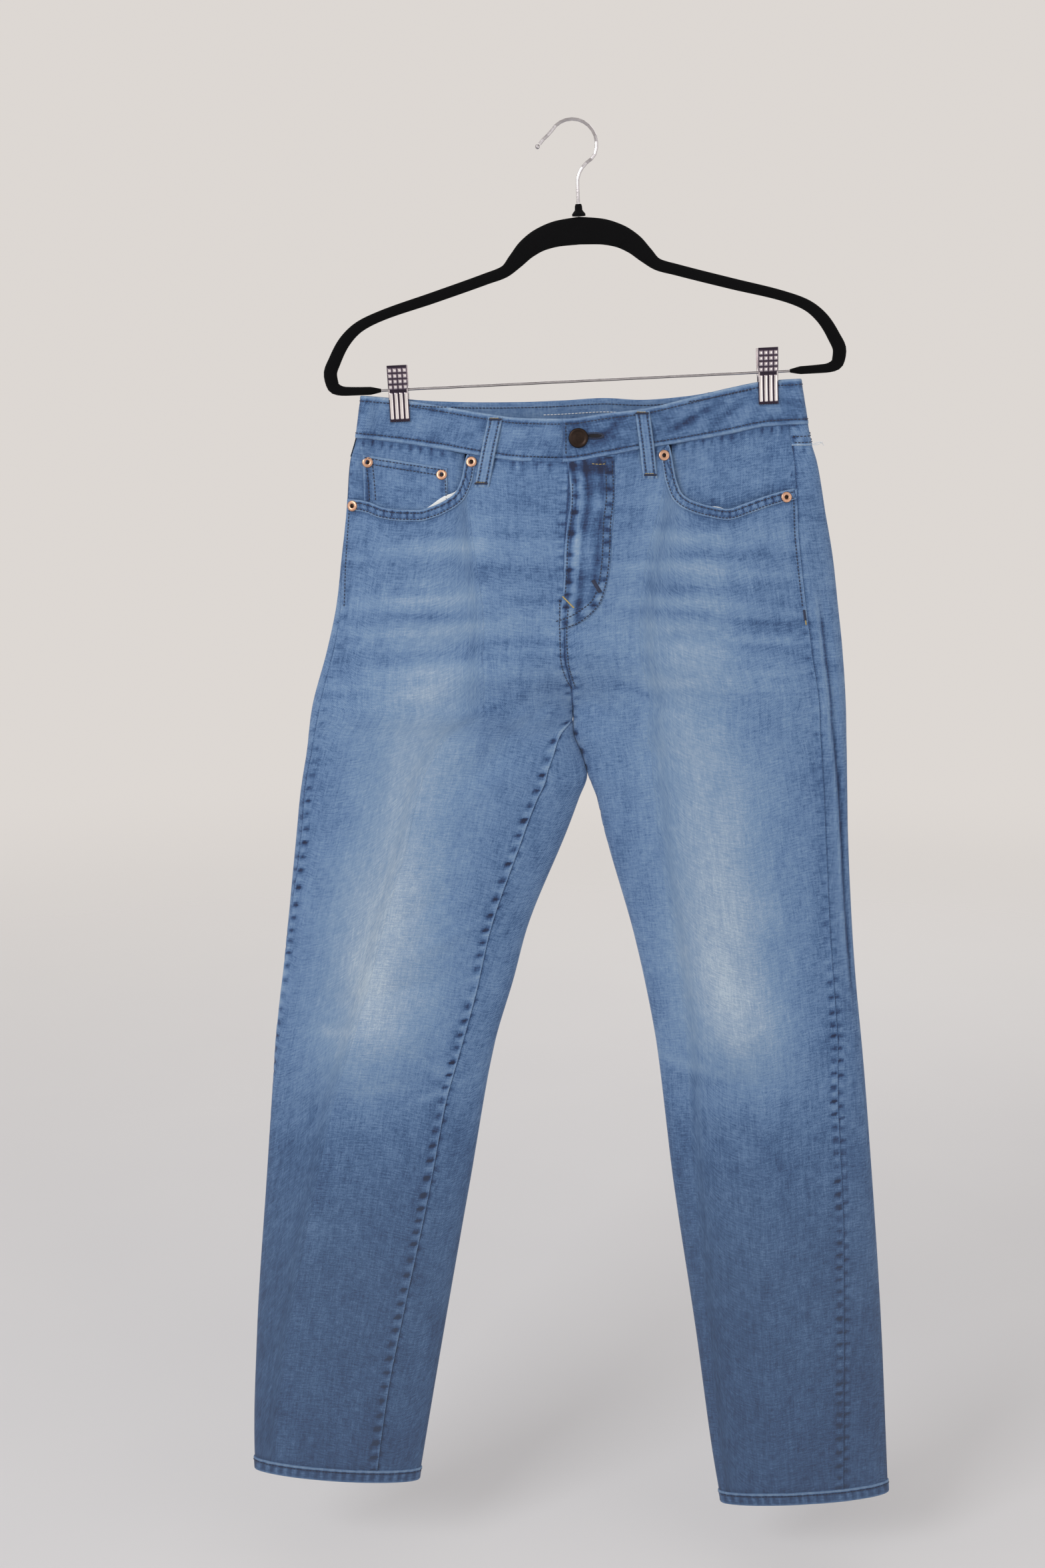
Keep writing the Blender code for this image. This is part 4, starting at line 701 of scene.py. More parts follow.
def lay_at_x(face, x, z):
    """Lay cloth at x, z above the crotch, on both sides of the centre."""
    right = lay(RIGHT, face, x, z)
    left = lay(LEFT, face, x, z)
    is_right = x < CENTRE_X(z)
    point = np.where(is_right[..., None], right.point, left.point)
    normal = np.where(is_right[..., None], right.normal, left.normal)
    return Cloth(point, normal, np.where(is_right, right.pale, left.pale))


def even(size, spacing):
    """Return even shares from 0 to 1, about a spacing apart over a size."""
    return np.linspace(0.0, 1.0, max(2, round(size / spacing) + 1))


def edged(size, spacing):
    """Return shares from 0 to 1 with more of them at both ends, for rolled edges."""
    close = np.array([0.0, 0.15, 0.45, 0.9, ROLL]) / size
    inner = np.linspace(ROLL / size, 1 - ROLL / size, max(2, round(size / spacing)))
    return np.unique(np.concatenate([close, inner, 1 - close]))


def new_object(name, data):
    item = bpy.data.objects.new(name, data)
    bpy.context.scene.collection.objects.link(item)
    return item


def cloth_mesh(name, cloth, look, ring=False, thickness=0.0):
    """Return an object of a cloth grid, with what its material reads."""
    rows, columns = cloth.pale.shape
    last = columns if ring else columns - 1
    i, j = np.meshgrid(np.arange(rows - 1), np.arange(last), indexing="ij")
    k = (j + 1) % columns
    above = i * columns
    below = above + columns
    quads = np.stack([above + j, above + k, below + k, below + j], axis=-1).reshape(-1, 4)
    flat = cloth.point.reshape(-1, 3)
    turn = np.cross(flat[quads[:, 2]] - flat[quads[:, 0]], flat[quads[:, 3]] - flat[quads[:, 1]])
    if np.sum(turn * cloth.normal.reshape(-1, 3)[quads[:, 0]]) < 0:
        quads = quads[:, ::-1]
    mesh = bpy.data.meshes.new(name)
    mesh.from_pydata((flat * MM).tolist(), [], quads.tolist())
    mesh.shade_smooth()
    from_middle = cloth.across - cloth.across[:, -1:] / 2
    weave = np.stack([from_middle, cloth.down, np.zeros_like(cloth.pale)], axis=-1)
    values = mesh.attributes.new("weave", "FLOAT_VECTOR", "POINT")
    values.data.foreach_set("vector", (weave * MM).astype(np.float32).ravel())
    values = mesh.attributes.new("pale", "FLOAT", "POINT")
    values.data.foreach_set("value", cloth.pale.astype(np.float32).ravel())
    mesh.materials.append(look)
    item = new_object(name, mesh)
    if thickness:
        wall = item.modifiers.new("wall", "SOLIDIFY")
        wall.thickness = thickness * MM
        wall.offset = -1
        wall.use_rim = True
    return item


def dress(item, nodes):
    """Ride a piece on the frame in place of its nodes."""
    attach(item, "root")
    if nodes:
        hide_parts(*nodes)
    return item


def solids_of(name):
    """Return the solids that a piece of cloth covers; a leg panel is four of them."""
    return [name + "_" + part for part in LEG_STRETCHES] if "_leg_" in name else [name]


def add_cloth(node, cloth, look, ring=False, thickness=0.0):
    """Add a piece of cloth in place of its node, and keep its surface for the sewing."""
    item = cloth_mesh(node + "_cloth", cloth, look, ring, thickness)
    dress(item, solids_of(node))
    mesh = item.data
    polygons = [tuple(face.vertices) for face in mesh.polygons]
    SURFACES[node] = BVHTree.FromPolygons([vertex.co for vertex in mesh.vertices], polygons)
    return item


SURFACES = {}


# Spacing of the panels' points, and how far a panel runs under the next piece
PANEL_COLUMN = 2.5
PANEL_ROW = 2.4
PANEL_TOP_Z, PANEL_FOOT_Z = -280.0, -1240.0
THIGH_Z = -650.0
UNDER = 3.0


def hem_z(side, x):
    """Return the height of the hem's lower edge at x."""
    outer, inner = HEM_Z[side]
    across = (x - EDGE[side](outer)) / (inner_edge(side, inner) - EDGE[side](outer))
    return mix(outer, inner, np.clip(across, 0.0, 1.0))


def leg_foot(side, place, above):
    """Return the height at a distance above the hem's lower edge for each place."""
    z = np.full(np.shape(place(HEM_Z[side][0])), HEM_Z[side][0])
    for _ in range(4):
        z = hem_z(side, place_x(side, place(z), z)) + above
    return z


def seam_places(side, face, z):
    """Return where a panel starts at the outseam and ends at the inseam."""
    outseam = OUTSEAM[side](z)
    inseam = np.where(z > CROTCH_Z, 1.0, INSEAM[side](z))
    if face == FRONT:
        lap = np.where(z > CROTCH_Z, 0.0, place_step(side, inseam, z, LAP))
        return outseam - place_step(side, outseam, z, LAP), inseam + lap
    return outseam, inseam - 2


def even_places(side, face):
    """Return column shares that lie evenly over a panel at the thigh."""
    level = THIGH_Z
    first, last = seam_places(side, face, level)
    shares = np.linspace(0.0, 1.0, 400)
    s = wrap(mix(first, last, shares))
    point, _ = skin(side, np.where(s >= 0, FRONT, BACK), place_x(side, s, level), level)
    length = run_along(point)
    count = round(length[-1] / PANEL_COLUMN)
    return np.interp(np.linspace(0.0, length[-1], count), length, shares)


def panel_levels(top, foot):
    """Return the heights of a panel's points, a row for each step down from its top."""
    upper = np.linspace(1.0, 0.0, round((PANEL_TOP_Z - CROTCH_Z) / PANEL_ROW))[:, None]
    lower = np.linspace(0.0, 1.0, round((CROTCH_Z - PANEL_FOOT_Z) / PANEL_ROW))[1:, None]
    return np.concatenate([mix(CROTCH_Z, top, upper), mix(CROTCH_Z, foot, lower)]), upper


def add_front_leg(side, look):
    """Add the front panel from the waist seam and pocket mouth to the hem."""
    at = np.unique(np.concatenate([even_places(side, FRONT), [0.5, MOUTH_END]]))

    def regular(z):
        first, last = seam_places(side, FRONT, z)
        return mix(first, last, at)

    top_x = MOUTH_X[side](at)
    top_z = MOUTH_Z[side](at)
    top_z = np.where(at > MOUTH_END, WAIST_SEAM[FRONT](top_x) + UNDER, top_z)
    foot = leg_foot(side, regular, HEM_HEIGHT - UNDER)
    z, upper = panel_levels(top_z, foot)
    s = regular(z)
    shift = (place_s(side, top_x, top_z) - regular(top_z)) * smooth(at / 0.05) * smooth((1 - at) / 0.06)
    s[:len(upper)] += shift * smooth((upper - 0.3) / 0.7)
    cloth = lay_at_place(side, s, z)
    first = cloth.across
    last = cloth.across_left
    legs = smooth((CROTCH_Z - cloth.z) / 20)
    cloth.lift(0.35 * (bell(first / 3) + legs * bell(last / 3)))
    seed = 11 if side == RIGHT else 23
    lower = smooth((GATHERS_FROM[side] - cloth.z) / 170)
    cloth.pucker(cloth.z, first, 12.5, 8.5, mix(0.16, 0.68, lower), seed)
    cloth.pucker(cloth.z, only(legs > 0.5, last), 14.0, 9.5, 0.76, seed + 3)
    cloth.cord(only(legs > 0.5, last - 0.9), 0.55, 1.1, 0.40)
    worn = smooth((cloth.z + 425) / 40)
    cloth.cord(first - 1.2, 0.35, 1.0, 0.18 + 0.18 * worn)
    # Painted shade along the outseam's stitch row, on the same upper stretch as the worn cord
    cloth.shade(first - 4.2, 1.3, 0.16 * worn)
    cloth.shade(first, 9, 0.05)
    cloth.shade(only(legs > 0.5, last - 4), 6, 0.06)
    rise = 1 - legs
    cloth.pucker(cloth.z, only(rise > 0.5, last), 9.0, 9.0, 0.35, seed + 7)
    cloth.shade(only(rise > 0.5, last), 1.0, 0.3)
    mouth = only(at < MOUTH_END + 0.02, cloth.down)
    cloth.shade(mouth - MOUTH_BAND, 4.0, 0.10)
    cloth.shade(only(at >= MOUTH_END, cloth.down - UNDER), 3.5, 0.14)
    cloth.pucker(cloth.x, only(at >= MOUTH_END, cloth.down - UNDER), 9.0, 12.0, 0.3, seed + 9)
    cloth.shade(cloth.down_left - UNDER, 4, 0.05)
    add_cloth("front_leg_" + side, cloth, look)


YOKE_SIDE_Z = {RIGHT: -274.0, LEFT: -264.0}
YOKE_CENTRE_Z = -332.0


def yoke_foot(side, x, s):
    """Return the height of the yoke's lower seam, a shallow V with its point at the centre."""
    outer = YOKE_SIDE_Z[side]
    across = (x - EDGE[side](outer)) / (inner_edge(side, outer) - EDGE[side](outer))
    return np.where(s <= 0, mix(outer, YOKE_CENTRE_Z, across), outer - 2.0 * s)


def add_back_leg(side, look):
    """Add the back panel from yoke to hem, and the yoke that laps over it."""
    at = even_places(side, BACK)

    def regular(z):
        first, last = seam_places(side, BACK, z)
        return mix(first, last, at)

    s = regular(-290.0)
    yoke_z = yoke_foot(side, place_x(side, s, -300.0), s)
    foot = leg_foot(side, regular, HEM_HEIGHT - UNDER)
    z, _ = panel_levels(yoke_z + UNDER, foot)
    cloth = lay_at_place(side, regular(z), z)
    first = cloth.across
    last = cloth.across_left
    legs = smooth((CROTCH_Z - cloth.z) / 20)
    seed = 41 if side == RIGHT else 57
    lower = smooth((GATHERS_FROM[side] - cloth.z) / 170)
    cloth.pucker(cloth.z, first, 12.5, 8.0, mix(0.12, 0.4, lower), seed)
    cloth.pucker(cloth.z, only(legs > 0.5, last), 14.0, 6.0, 0.25, seed + 3)
    cloth.shade(first, 1.4, 0.25)
    cloth.shade(only(legs > 0.5, last), 1.6, 0.3)
    cloth.pucker(cloth.z, only(legs < 0.5, last), 10.0, 9.0, 0.4, seed + 7)
    cloth.cord(only(legs < 0.5, last - 1.5), 0.4, 1.2, 0.18)
    cloth.pucker(cloth.x, cloth.down - UNDER, 9.0, 9.0, 0.35, seed + 9)
    if side == LEFT:
        fold = place_x(LEFT, OUTSEAM[LEFT](z) * PLEAT_PLACE(np.clip(z, PLEAT[-1].z, PLEAT[0].z)), z)
        shown = np.where(regular(z) > 0, smooth((-392 - z) / 30) * smooth((z + 800) / 120), 0.0)
        cloth.shade(cloth.x - fold, 1.3, 0.30 * shown)
        cloth.cord(cloth.x - fold + 3.0, 0.2, 1.6, 0.12 * shown)
    add_cloth("back_leg_" + side, cloth, look)

    top = np.full(at.shape, -265.0)
    for _ in range(4):
        face = np.where(regular(top) > 0, FRONT, BACK)
        x = place_x(side, regular(top), top)
        top = by_face(face, WAIST_SEAM[FRONT](x), WAIST_SEAM[BACK](x)) + UNDER
    z = mix(top, yoke_z - 0.5, edged(60, 2.2)[:, None])
    yoke = lay_at_place(side, regular(z), z)
    yoke.roll(0.7, ["bottom"])
    yoke.cord(yoke.down_left - 0.5, 0.2, 0.8, np.where(yoke.across < 40, 0.22, 0.05))
    yoke.pucker(yoke.across, yoke.down_left, 9.5, 9.0, 0.35, seed + 13)
    yoke.shade(yoke.down - UNDER, 3.5, 0.12)
    yoke.pucker(yoke.z, yoke.across, 10.0, 8.0, 0.3, seed + 15)
    add_cloth("yoke_" + side, yoke, look)


# Share of the hem's height and lift over the skin, down the outside and up the inside
HEM_PROFILE = [
    (0.00, 0.1), (0.03, 0.8), (0.10, 1.15), (0.22, 0.95), (0.40, 0.85), (0.60, 0.85), (0.80, 0.9),
    (0.92, 0.9), (0.98, 0.6), (1.00, 0.0), (0.99, -1.0), (0.93, -1.7), (0.75, -2.0), (0.4, -1.9),
    (0.0, -1.8),
]
HEM_COLUMNS = 180


def add_hem(side, look):
    """Add the turned hem, rolled under at its lower edge and roped by its seam."""
    around = np.linspace(-1.0, 1.0, HEM_COLUMNS + 1)[:-1]
    share, lift = np.array(HEM_PROFILE).T[..., None]
    top = leg_foot(side, lambda z: around, HEM_HEIGHT)
    z = top - HEM_HEIGHT * share
    hem = lay_at_place(side, np.broadcast_to(around, z.shape), z)
    outside = np.where(lift > -0.5, 1.0, 0.0)
    slant = hem.across + 5.0 * share
    seed = 71 if side == RIGHT else 83
    rope = np.cos(2 * np.pi * (slant / 8.4 + 0.5 * rough(slant / 50, seed)))
    rope *= 0.7 + 0.3 * rough(slant / 21, seed + 1)
    body = bell((share - 0.5) / 0.42) * outside
    hem.lift(lift + 0.28 * rope * body)
    hem.pale = hem.pale + 0.20 * rope * body + 0.02 * outside
    # Paler along the worn top fold; painted shade along the stitch row just below it
    seam = 0.42 * bell((share - 0.08) / 0.08) - 0.24 * bell((share - 0.26) / 0.07)
    hem.pale = hem.pale + outside * seam
    hem.pale = hem.pale + outside * 0.30 * bell((share - 0.97) / 0.08) + np.where(outside > 0, 0.0, 0.12)
    add_cloth("hem_" + side, hem, look, ring=True)


def band_place(angle):
    """Return x share and face round the band at an angle from the right edge."""
    return np.cos(angle), np.where(np.sin(angle) >= 0, FRONT, BACK)


def lay_band(angle, share):
    """Lay the band's skin at an angle round it and a share of its height."""
    cosine, face = band_place(angle)
    z = np.full(np.broadcast(angle, share).shape, -245.0)
    for _ in range(5):
        right = EDGE[RIGHT](z)
        left = EDGE[LEFT](z)
        x = (right + left) / 2 - (left - right) / 2 * cosine
        seam = by_face(face, WAIST_SEAM[FRONT](x), WAIST_SEAM[BACK](x))
        top = by_face(face, BAND_TOP[FRONT](x), BAND_TOP[BACK](x))
        z = mix(seam, top, share)
    return lay_at_face(np.broadcast_to(face, z.shape), x, z)


def lay_at_face(face, x, z):
    """Lay cloth above the crotch where the face changes from point to point."""
    front = lay_at_x(FRONT, x, z)
    back = lay_at_x(BACK, x, z)
    choose = (face < 0)[..., None]
    point = np.where(choose, front.point, back.point)
    normal = np.where(choose, front.normal, back.normal)
    return Cloth(point, normal, np.where(face < 0, front.pale, back.pale))


def band_angle(x):
    """Return the angle round the band's front at x."""
    middle = (EDGE[RIGHT](-240.0) + EDGE[LEFT](-240.0)) / 2
    half = (EDGE[LEFT](-240.0) - EDGE[RIGHT](-240.0)) / 2
    return math.acos((middle - x) / half)


# Strain lines in the band, falling away from the clips and the button
STRAINS = table("x share run tilt width height", [
    (-120, 0.62, 26, -38, 3.2, -0.8),
    (-104, 0.46, 24, -34, 3.4, -0.7),
    (-88, 0.66, 20, -30, 2.8, -0.5),
    (-128, 0.25, 22, -22, 3.0, -0.5),
    (-170, 0.45, 14, 4, 3.2, -0.6),
    (-48, 0.34, 22, 24, 2.8, -0.5),
    (-34, 0.62, 20, 30, 3.0, -0.6),
    (-22, 0.30, 16, 32, 2.6, -0.6),
    (34, 0.62, 15, 36, 2.8, -0.7),
    (40, 0.36, 15, -24, 2.8, -0.6),
    (24, 0.22, 12, 20, 2.4, -0.5),
    (92, 0.40, 26, 16, 3.4, -0.5),
    (112, 0.62, 26, 24, 3.2, -0.6),
    (134, 0.44, 22, 30, 3.0, -0.6),
    (184, 0.50, 12, -6, 3.2, -0.5),
])


# Share of the band's height and lift over the skin, up the outside and down the inside
BAND_PROFILE = [
    (-0.01, -0.3), (0.0, 0.75), (0.02, 1.2), (0.06, 1.35), (0.10, 1.15), (0.17, 1.1), (0.25, 1.15),
    (0.34, 1.2), (0.43, 1.2), (0.52, 1.2), (0.61, 1.2), (0.70, 1.2), (0.78, 1.15), (0.84, 1.1), (0.90, 1.2),
    (0.945, 1.35), (0.975, 1.25), (0.993, 0.9), (1.0, 0.2), (0.995, -0.7), (0.97, -1.3), (0.9, -1.45),
    (0.75, -1.4), (0.5, -1.4), (0.25, -1.4), (0.06, -1.4),
]
BAND_OUTSIDE_ROWS = 18
BAND_COLUMNS = 420
BAND_HEIGHT = 36.0


def add_waistband(look):
    """Add the band, one strip turned in at the top, its top end lapping its under end."""
    start = band_angle(BAND_TOP_END_X)
    end = 2 * math.pi + band_angle(BAND_UNDER_END_X)
    angle = np.linspace(start, end, BAND_COLUMNS)
    ends = np.array([0.0, 0.0012, 0.0035, 0.007])
    angle = np.unique(np.concatenate([angle, start + ends, end - ends]))
    share, lift = np.array(BAND_PROFILE).T[..., None]
    band = lay_band(angle[None, :], share)
    under = angle[None, :] > 2 * math.pi
    tucked = smooth((band.x - BAND_TUCK_FROM_X) / (BAND_TUCK_TO_X - BAND_TUCK_FROM_X))
    tuck = np.where(under, BAND_TUCK * tucked, 0.0)
    run = band.across[10:11, :]
    ends = np.minimum(run, run[:, -1:] - run)
    t = np.minimum(1.0, ends / ROLL)
    lift = -0.1 + (lift + 0.1) * np.sqrt(1 - (1 - t) ** 2)
    outside = np.where(np.arange(len(BAND_PROFILE)) < BAND_OUTSIDE_ROWS, 1.0, 0.0)[:, None]
    over = np.where(np.sin(angle) >= 0, 1.0, 0.0)[None, :] * np.where(under, 0.0, 1.0)
    strain = np.zeros(band.pale.shape)
    for row in STRAINS:
        tilt = math.radians(row.tilt)
        height = (share - row.share) * BAND_HEIGHT
        along = (band.x - row.x) * math.cos(tilt) + height * math.sin(tilt)
        across = height * math.cos(tilt) - (band.x - row.x) * math.sin(tilt)
        strain += row.height * bell(along / row.run) * bell(across / row.width)
    middle = bell((share - 0.5) / 0.34)
    ripple = 0.22 * cloudy(run / 6.5, share * 3, 3) * middle
    seam_gather = np.cos(2 * np.pi * (run / 7.6 + 0.5 * rough(run / 40, 9)))
    rims = bell((share - 0.14) / 0.07) + bell((share - 0.87) / 0.06)
    relief = strain * over * middle + ripple + 0.12 * seam_gather * rims
    band.lift(lift - tuck + relief * outside * np.minimum(1.0, ends / 4))
    # Painted light and shade on the outside: darker in the strain creases, lighter on the ripples' rises and
    # darker in their dips, and following the gathers at the stitch rows
    wear_and_shade = 0.06 + 0.34 * strain * over * middle + 0.16 * ripple + 0.05 * seam_gather * rims
    wear_and_shade = wear_and_shade + 0.26 * bell((share - 0.975) / 0.03) + 0.20 * bell((share - 0.035) / 0.03)
    # Painted shade along the two stitch rows
    wear_and_shade = wear_and_shade - 0.20 * bell((share - 0.87) / 0.030) - 0.20 * bell((share - 0.115) / 0.030)
    wear_and_shade = wear_and_shade + 0.10 * cloudy(run / 14, share * 4, 12) - 0.05
    # Darker round the button
    wear_and_shade = wear_and_shade - 0.11 * over * bell((band.x - BUTTON_X - 8.0) / 36.0)
    band.pale = band.pale + outside * (wear_and_shade - 0.02) + (1 - outside) * 0.02
    add_cloth("waistband", band, look)


def add_belt_loop(loop, look):
    """Add one belt loop, with both its long edges rolled."""
    along = even(64, 1.5)
    across = edged(LOOP_WIDTH, 1.3)
    top = BAND_TOP[loop.face](loop.top_x) - 1.0
    foot = WAIST_SEAM[loop.face](loop.bottom_x) - LOOP_BELOW_SEAM
    x = mix(loop.top_x, loop.bottom_x, along)[:, None] + LOOP_WIDTH * (across - 0.5)
    z = np.broadcast_to(mix(top, foot, along)[:, None], x.shape)
    cloth = lay_at_x(loop.face, x, z)
    rise = column(LOOP_RISE, "along", "lift")(along)[:, None]
    ends = smooth(np.minimum(cloth.down, cloth.down_left) / 1.6)
    cloth.lift(rise * ends)
    cloth.roll(LOOP_THICK * 0.85, ["first", "last", "top", "bottom"])
    side = np.minimum(cloth.across, cloth.across_left)
    cloth.shade(side - 2.9, 0.8, 0.22)
    cloth.cord(side - 4.4, 0.18, 1.0, 0.10)
    cloth.pucker(cloth.z, side, 5.6, 4.6, 0.18, loop.top_x)
    cloth.shade(cloth.down - 4, 2.5, 0.12)
    cloth.shade(cloth.down_left - 3.5, 2.0, 0.16)
    cloth.pale = cloth.pale + 0.05
    add_cloth(loop.name, cloth, look)


def way(side):
    """Return the direction in x towards the centre of the garment."""
    return 1 if side == RIGHT else -1


def beside_mouth(side, at, reach):
    """Return x and z of places at a distance below the pocket mouth."""
    x = MOUTH_X[side](at)
    z = MOUTH_Z[side](at)
    along = np.stack([np.gradient(x), np.gradient(z)], axis=1)
    along /= np.linalg.norm(along, axis=1, keepdims=True)
    return x + along[:, 1] * way(side) * reach, z - along[:, 0] * way(side) * reach


def add_pocket_edge(side, look):
    """Add the turned and twice stitched edge of the pocket mouth."""
    at = np.linspace(0.0, MOUTH_END, 96)
    across = edged(MOUTH_BAND, 1.1)[:, None]
    far_x, far_z = beside_mouth(side, at, MOUTH_BAND * (across - 0.04))
    limit = WAIST_SEAM[FRONT](far_x) + UNDER
    cloth = lay(side, FRONT, far_x, np.minimum(far_z, limit))
    near_waist = smooth((WAIST_SEAM[FRONT](far_x) + 1.0 - far_z) / 4)
    near_seam = smooth(cloth.across / 3)
    cloth.lift(0.1 + 0.2 * near_waist)
    cloth.roll(0.9 * near_waist * mix(0.4, 1.0, near_seam), ["top", "bottom"])
    cloth.pucker(cloth.across, cloth.down, 6.6, 9.6, 0.34, 5 if side == RIGHT else 6)
    cloth.shade(cloth.down - 2.6, 0.9, 0.14)
    cloth.shade(cloth.down - 7.2, 0.9, 0.12)
    cloth.pale = cloth.pale - 0.03
    add_cloth("pocket_edge_" + side, cloth, look)


def facing_lift(side, x, z):
    """Return the facing's height: at the surface by the outseam and waist, deeper elsewhere."""
    inner_end = MOUTH_X[side](MOUTH_END)
    from_outseam = smooth(np.abs(x - place_x(side, OUTSEAM[side](z), z)) / FACING_SLOPE)
    from_waist = smooth((WAIST_SEAM[FRONT](x) - z) / FACING_DROP)
    by_front = smooth(1 - np.abs(x - inner_end) / FACING_SLOPE)
    by_front = np.where(np.abs(x) < abs(inner_end), 1.0, by_front)
    return mix(FACING_EDGE_LIFT, FACING_LIFT, from_outseam * np.maximum(from_waist, by_front))


def add_pocket_facing(side, look):
    """Add the facing that shows in the pocket mouth."""
    at = np.linspace(0.0, 0.52, 56)
    mouth_x = MOUTH_X[side](at)
    mouth_z = MOUTH_Z[side](at)
    last = mouth_x[-1] + 8.0 * way(side)
    share = (mouth_x - mouth_x[0]) / (last - mouth_x[0])
    foot = mouth_z - 12.0 * smooth(np.abs(mouth_x - mouth_x[0]) / 14)
    down = even(56, 2.0)[:, None]
    z = np.broadcast_to(np.float64(-265.0), (len(down), len(at)))
    for _ in range(4):
        x = mix(place_x(side, OUTSEAM[side](z), z), last, share)
        z = mix(WAIST_SEAM[FRONT](x) + UNDER, foot, down)
    cloth = lay(side, FRONT, x, z)
    cloth.lift(facing_lift(side, x, z))
    shadow = np.abs(cloth.z - np.interp(cloth.x, *zip(*sorted(zip(mouth_x, mouth_z)))))
    cloth.shade(shadow, 7.0, 0.10)
    cloth.shade(cloth.down - UNDER, 5.0, 0.14)
    cloth.pucker(cloth.x, cloth.down - UNDER, 8.5, 9.0, 0.25, 31)
    cloth.pucker(cloth.z, cloth.across, 9.0, 6.0, 0.25, 33)
    cloth.pale = cloth.pale - 0.01 + 0.05 * cloudy(cloth.x / 16, cloth.z / 6, 14)
    add_cloth("pocket_facing_" + side, cloth, look)


Peek = namedtuple("Peek", "x width height")
PEEK = {RIGHT: Peek(-108.0, 14.0, 6.4), LEFT: Peek(126.0, 10.0, 3.0)}


def add_pocket_bag(side, look):
    """Add the pocket bag, whose rolled edge shows as a pale sliver above the mouth."""
    peek = PEEK[side]
    at = np.linspace(0.11, 0.5, 60)
    x = MOUTH_X[side](at)
    top = MOUTH_Z[side](at) - 1.5 + peek.height * bell((x - peek.x) / peek.width)
    across = np.linspace(0.0, 1.0, len(at))
    foot = -392.0 + 14.0 * (2 * across - 1) ** 2
    z = mix(top, foot, edged(80, 2.5)[:, None])
    cloth = lay(side, FRONT, np.broadcast_to(x, z.shape), z)
    cloth.lift(LINING_LIFT)
    cloth.roll(0.7, ["top"])
    add_cloth("pocket_bag_" + side, cloth, look)


COIN_LEFT_X, COIN_RIGHT_X = -176.5, -104.3
COIN_LEFT_Z, COIN_RIGHT_Z = -272.2, -282.9


def coin_point(across):
    """Return x and z of the coin pocket's top edge."""
    return mix(COIN_LEFT_X, COIN_RIGHT_X, across), mix(COIN_LEFT_Z, COIN_RIGHT_Z, across)


def add_coin_pocket(look):
    """Add the coin pocket on the right facing, down to the mouth's edge."""
    across = edged(72, 1.6)
    x, top = coin_point(across)
    at = np.linspace(0.0, 0.5, 120)
    foot = np.interp(x, MOUTH_X[RIGHT](at), MOUTH_Z[RIGHT](at)) - 4.0
    z = mix(top, foot, edged(40, 1.6)[:, None])
    cloth = lay(RIGHT, FRONT, np.broadcast_to(x, z.shape), z)
    cloth.lift(facing_lift(RIGHT, cloth.x, cloth.z) + 0.1)
    cloth.roll(COIN_RISE - 0.3, ["top", "first", "last"])
    cloth.pucker(cloth.x, cloth.down, 7.0, 9.0, 0.22, 51)
    cloth.shade(cloth.down - 7.2, 1.0, 0.10)
    cloth.shade(cloth.across - 4.0, 2.4, 0.20)
    cloth.shade(cloth.across_left - 4.0, 2.4, 0.14)
    cloth.pale = cloth.pale + 0.04 * cloudy(cloth.x / 13, cloth.z / 6, 15)
    add_cloth("coin_pocket", cloth, look)


BACK_POCKET_X = {RIGHT: -98.0, LEFT: 104.0}
BACK_POCKET_TOP = -342.0


def back_pocket_point(side, u, v):
    """Return x and z on the back pocket, u across from -1 to 1 and v down from 0 to 1."""
    half = mix(71.0, 60.0, v)
    foot = 128.0 + 22.0 * (1 - np.abs(u))
    return BACK_POCKET_X[side] + half * u, BACK_POCKET_TOP - foot * v


def add_back_pocket(side, look):
    """Add the plain five-sided patch pocket."""
    u = 2 * edged(140, 2.2)[None, :] - 1
    v = edged(140, 2.2)[:, None]
    x, z = back_pocket_point(side, u, v)
    cloth = lay(side, BACK, x, z)
    cloth.roll(1.25, ["first", "last", "top", "bottom"])
    rim = np.minimum(np.minimum(cloth.across, cloth.across_left), cloth.down_left)
    cloth.pucker(cloth.down + cloth.across, rim, 9.0, 10.0, 0.3, 61)
    cloth.shade(cloth.down - 12.5, 1.2, 0.12)
    cloth.pucker(cloth.x, cloth.down, 8.0, 14.0, 0.25, 63)
    cloth.shade(rim - 7.6, 1.0, 0.08)
    cloth.pale = cloth.pale + 0.03
    add_cloth("back_pocket_" + side, cloth, look)


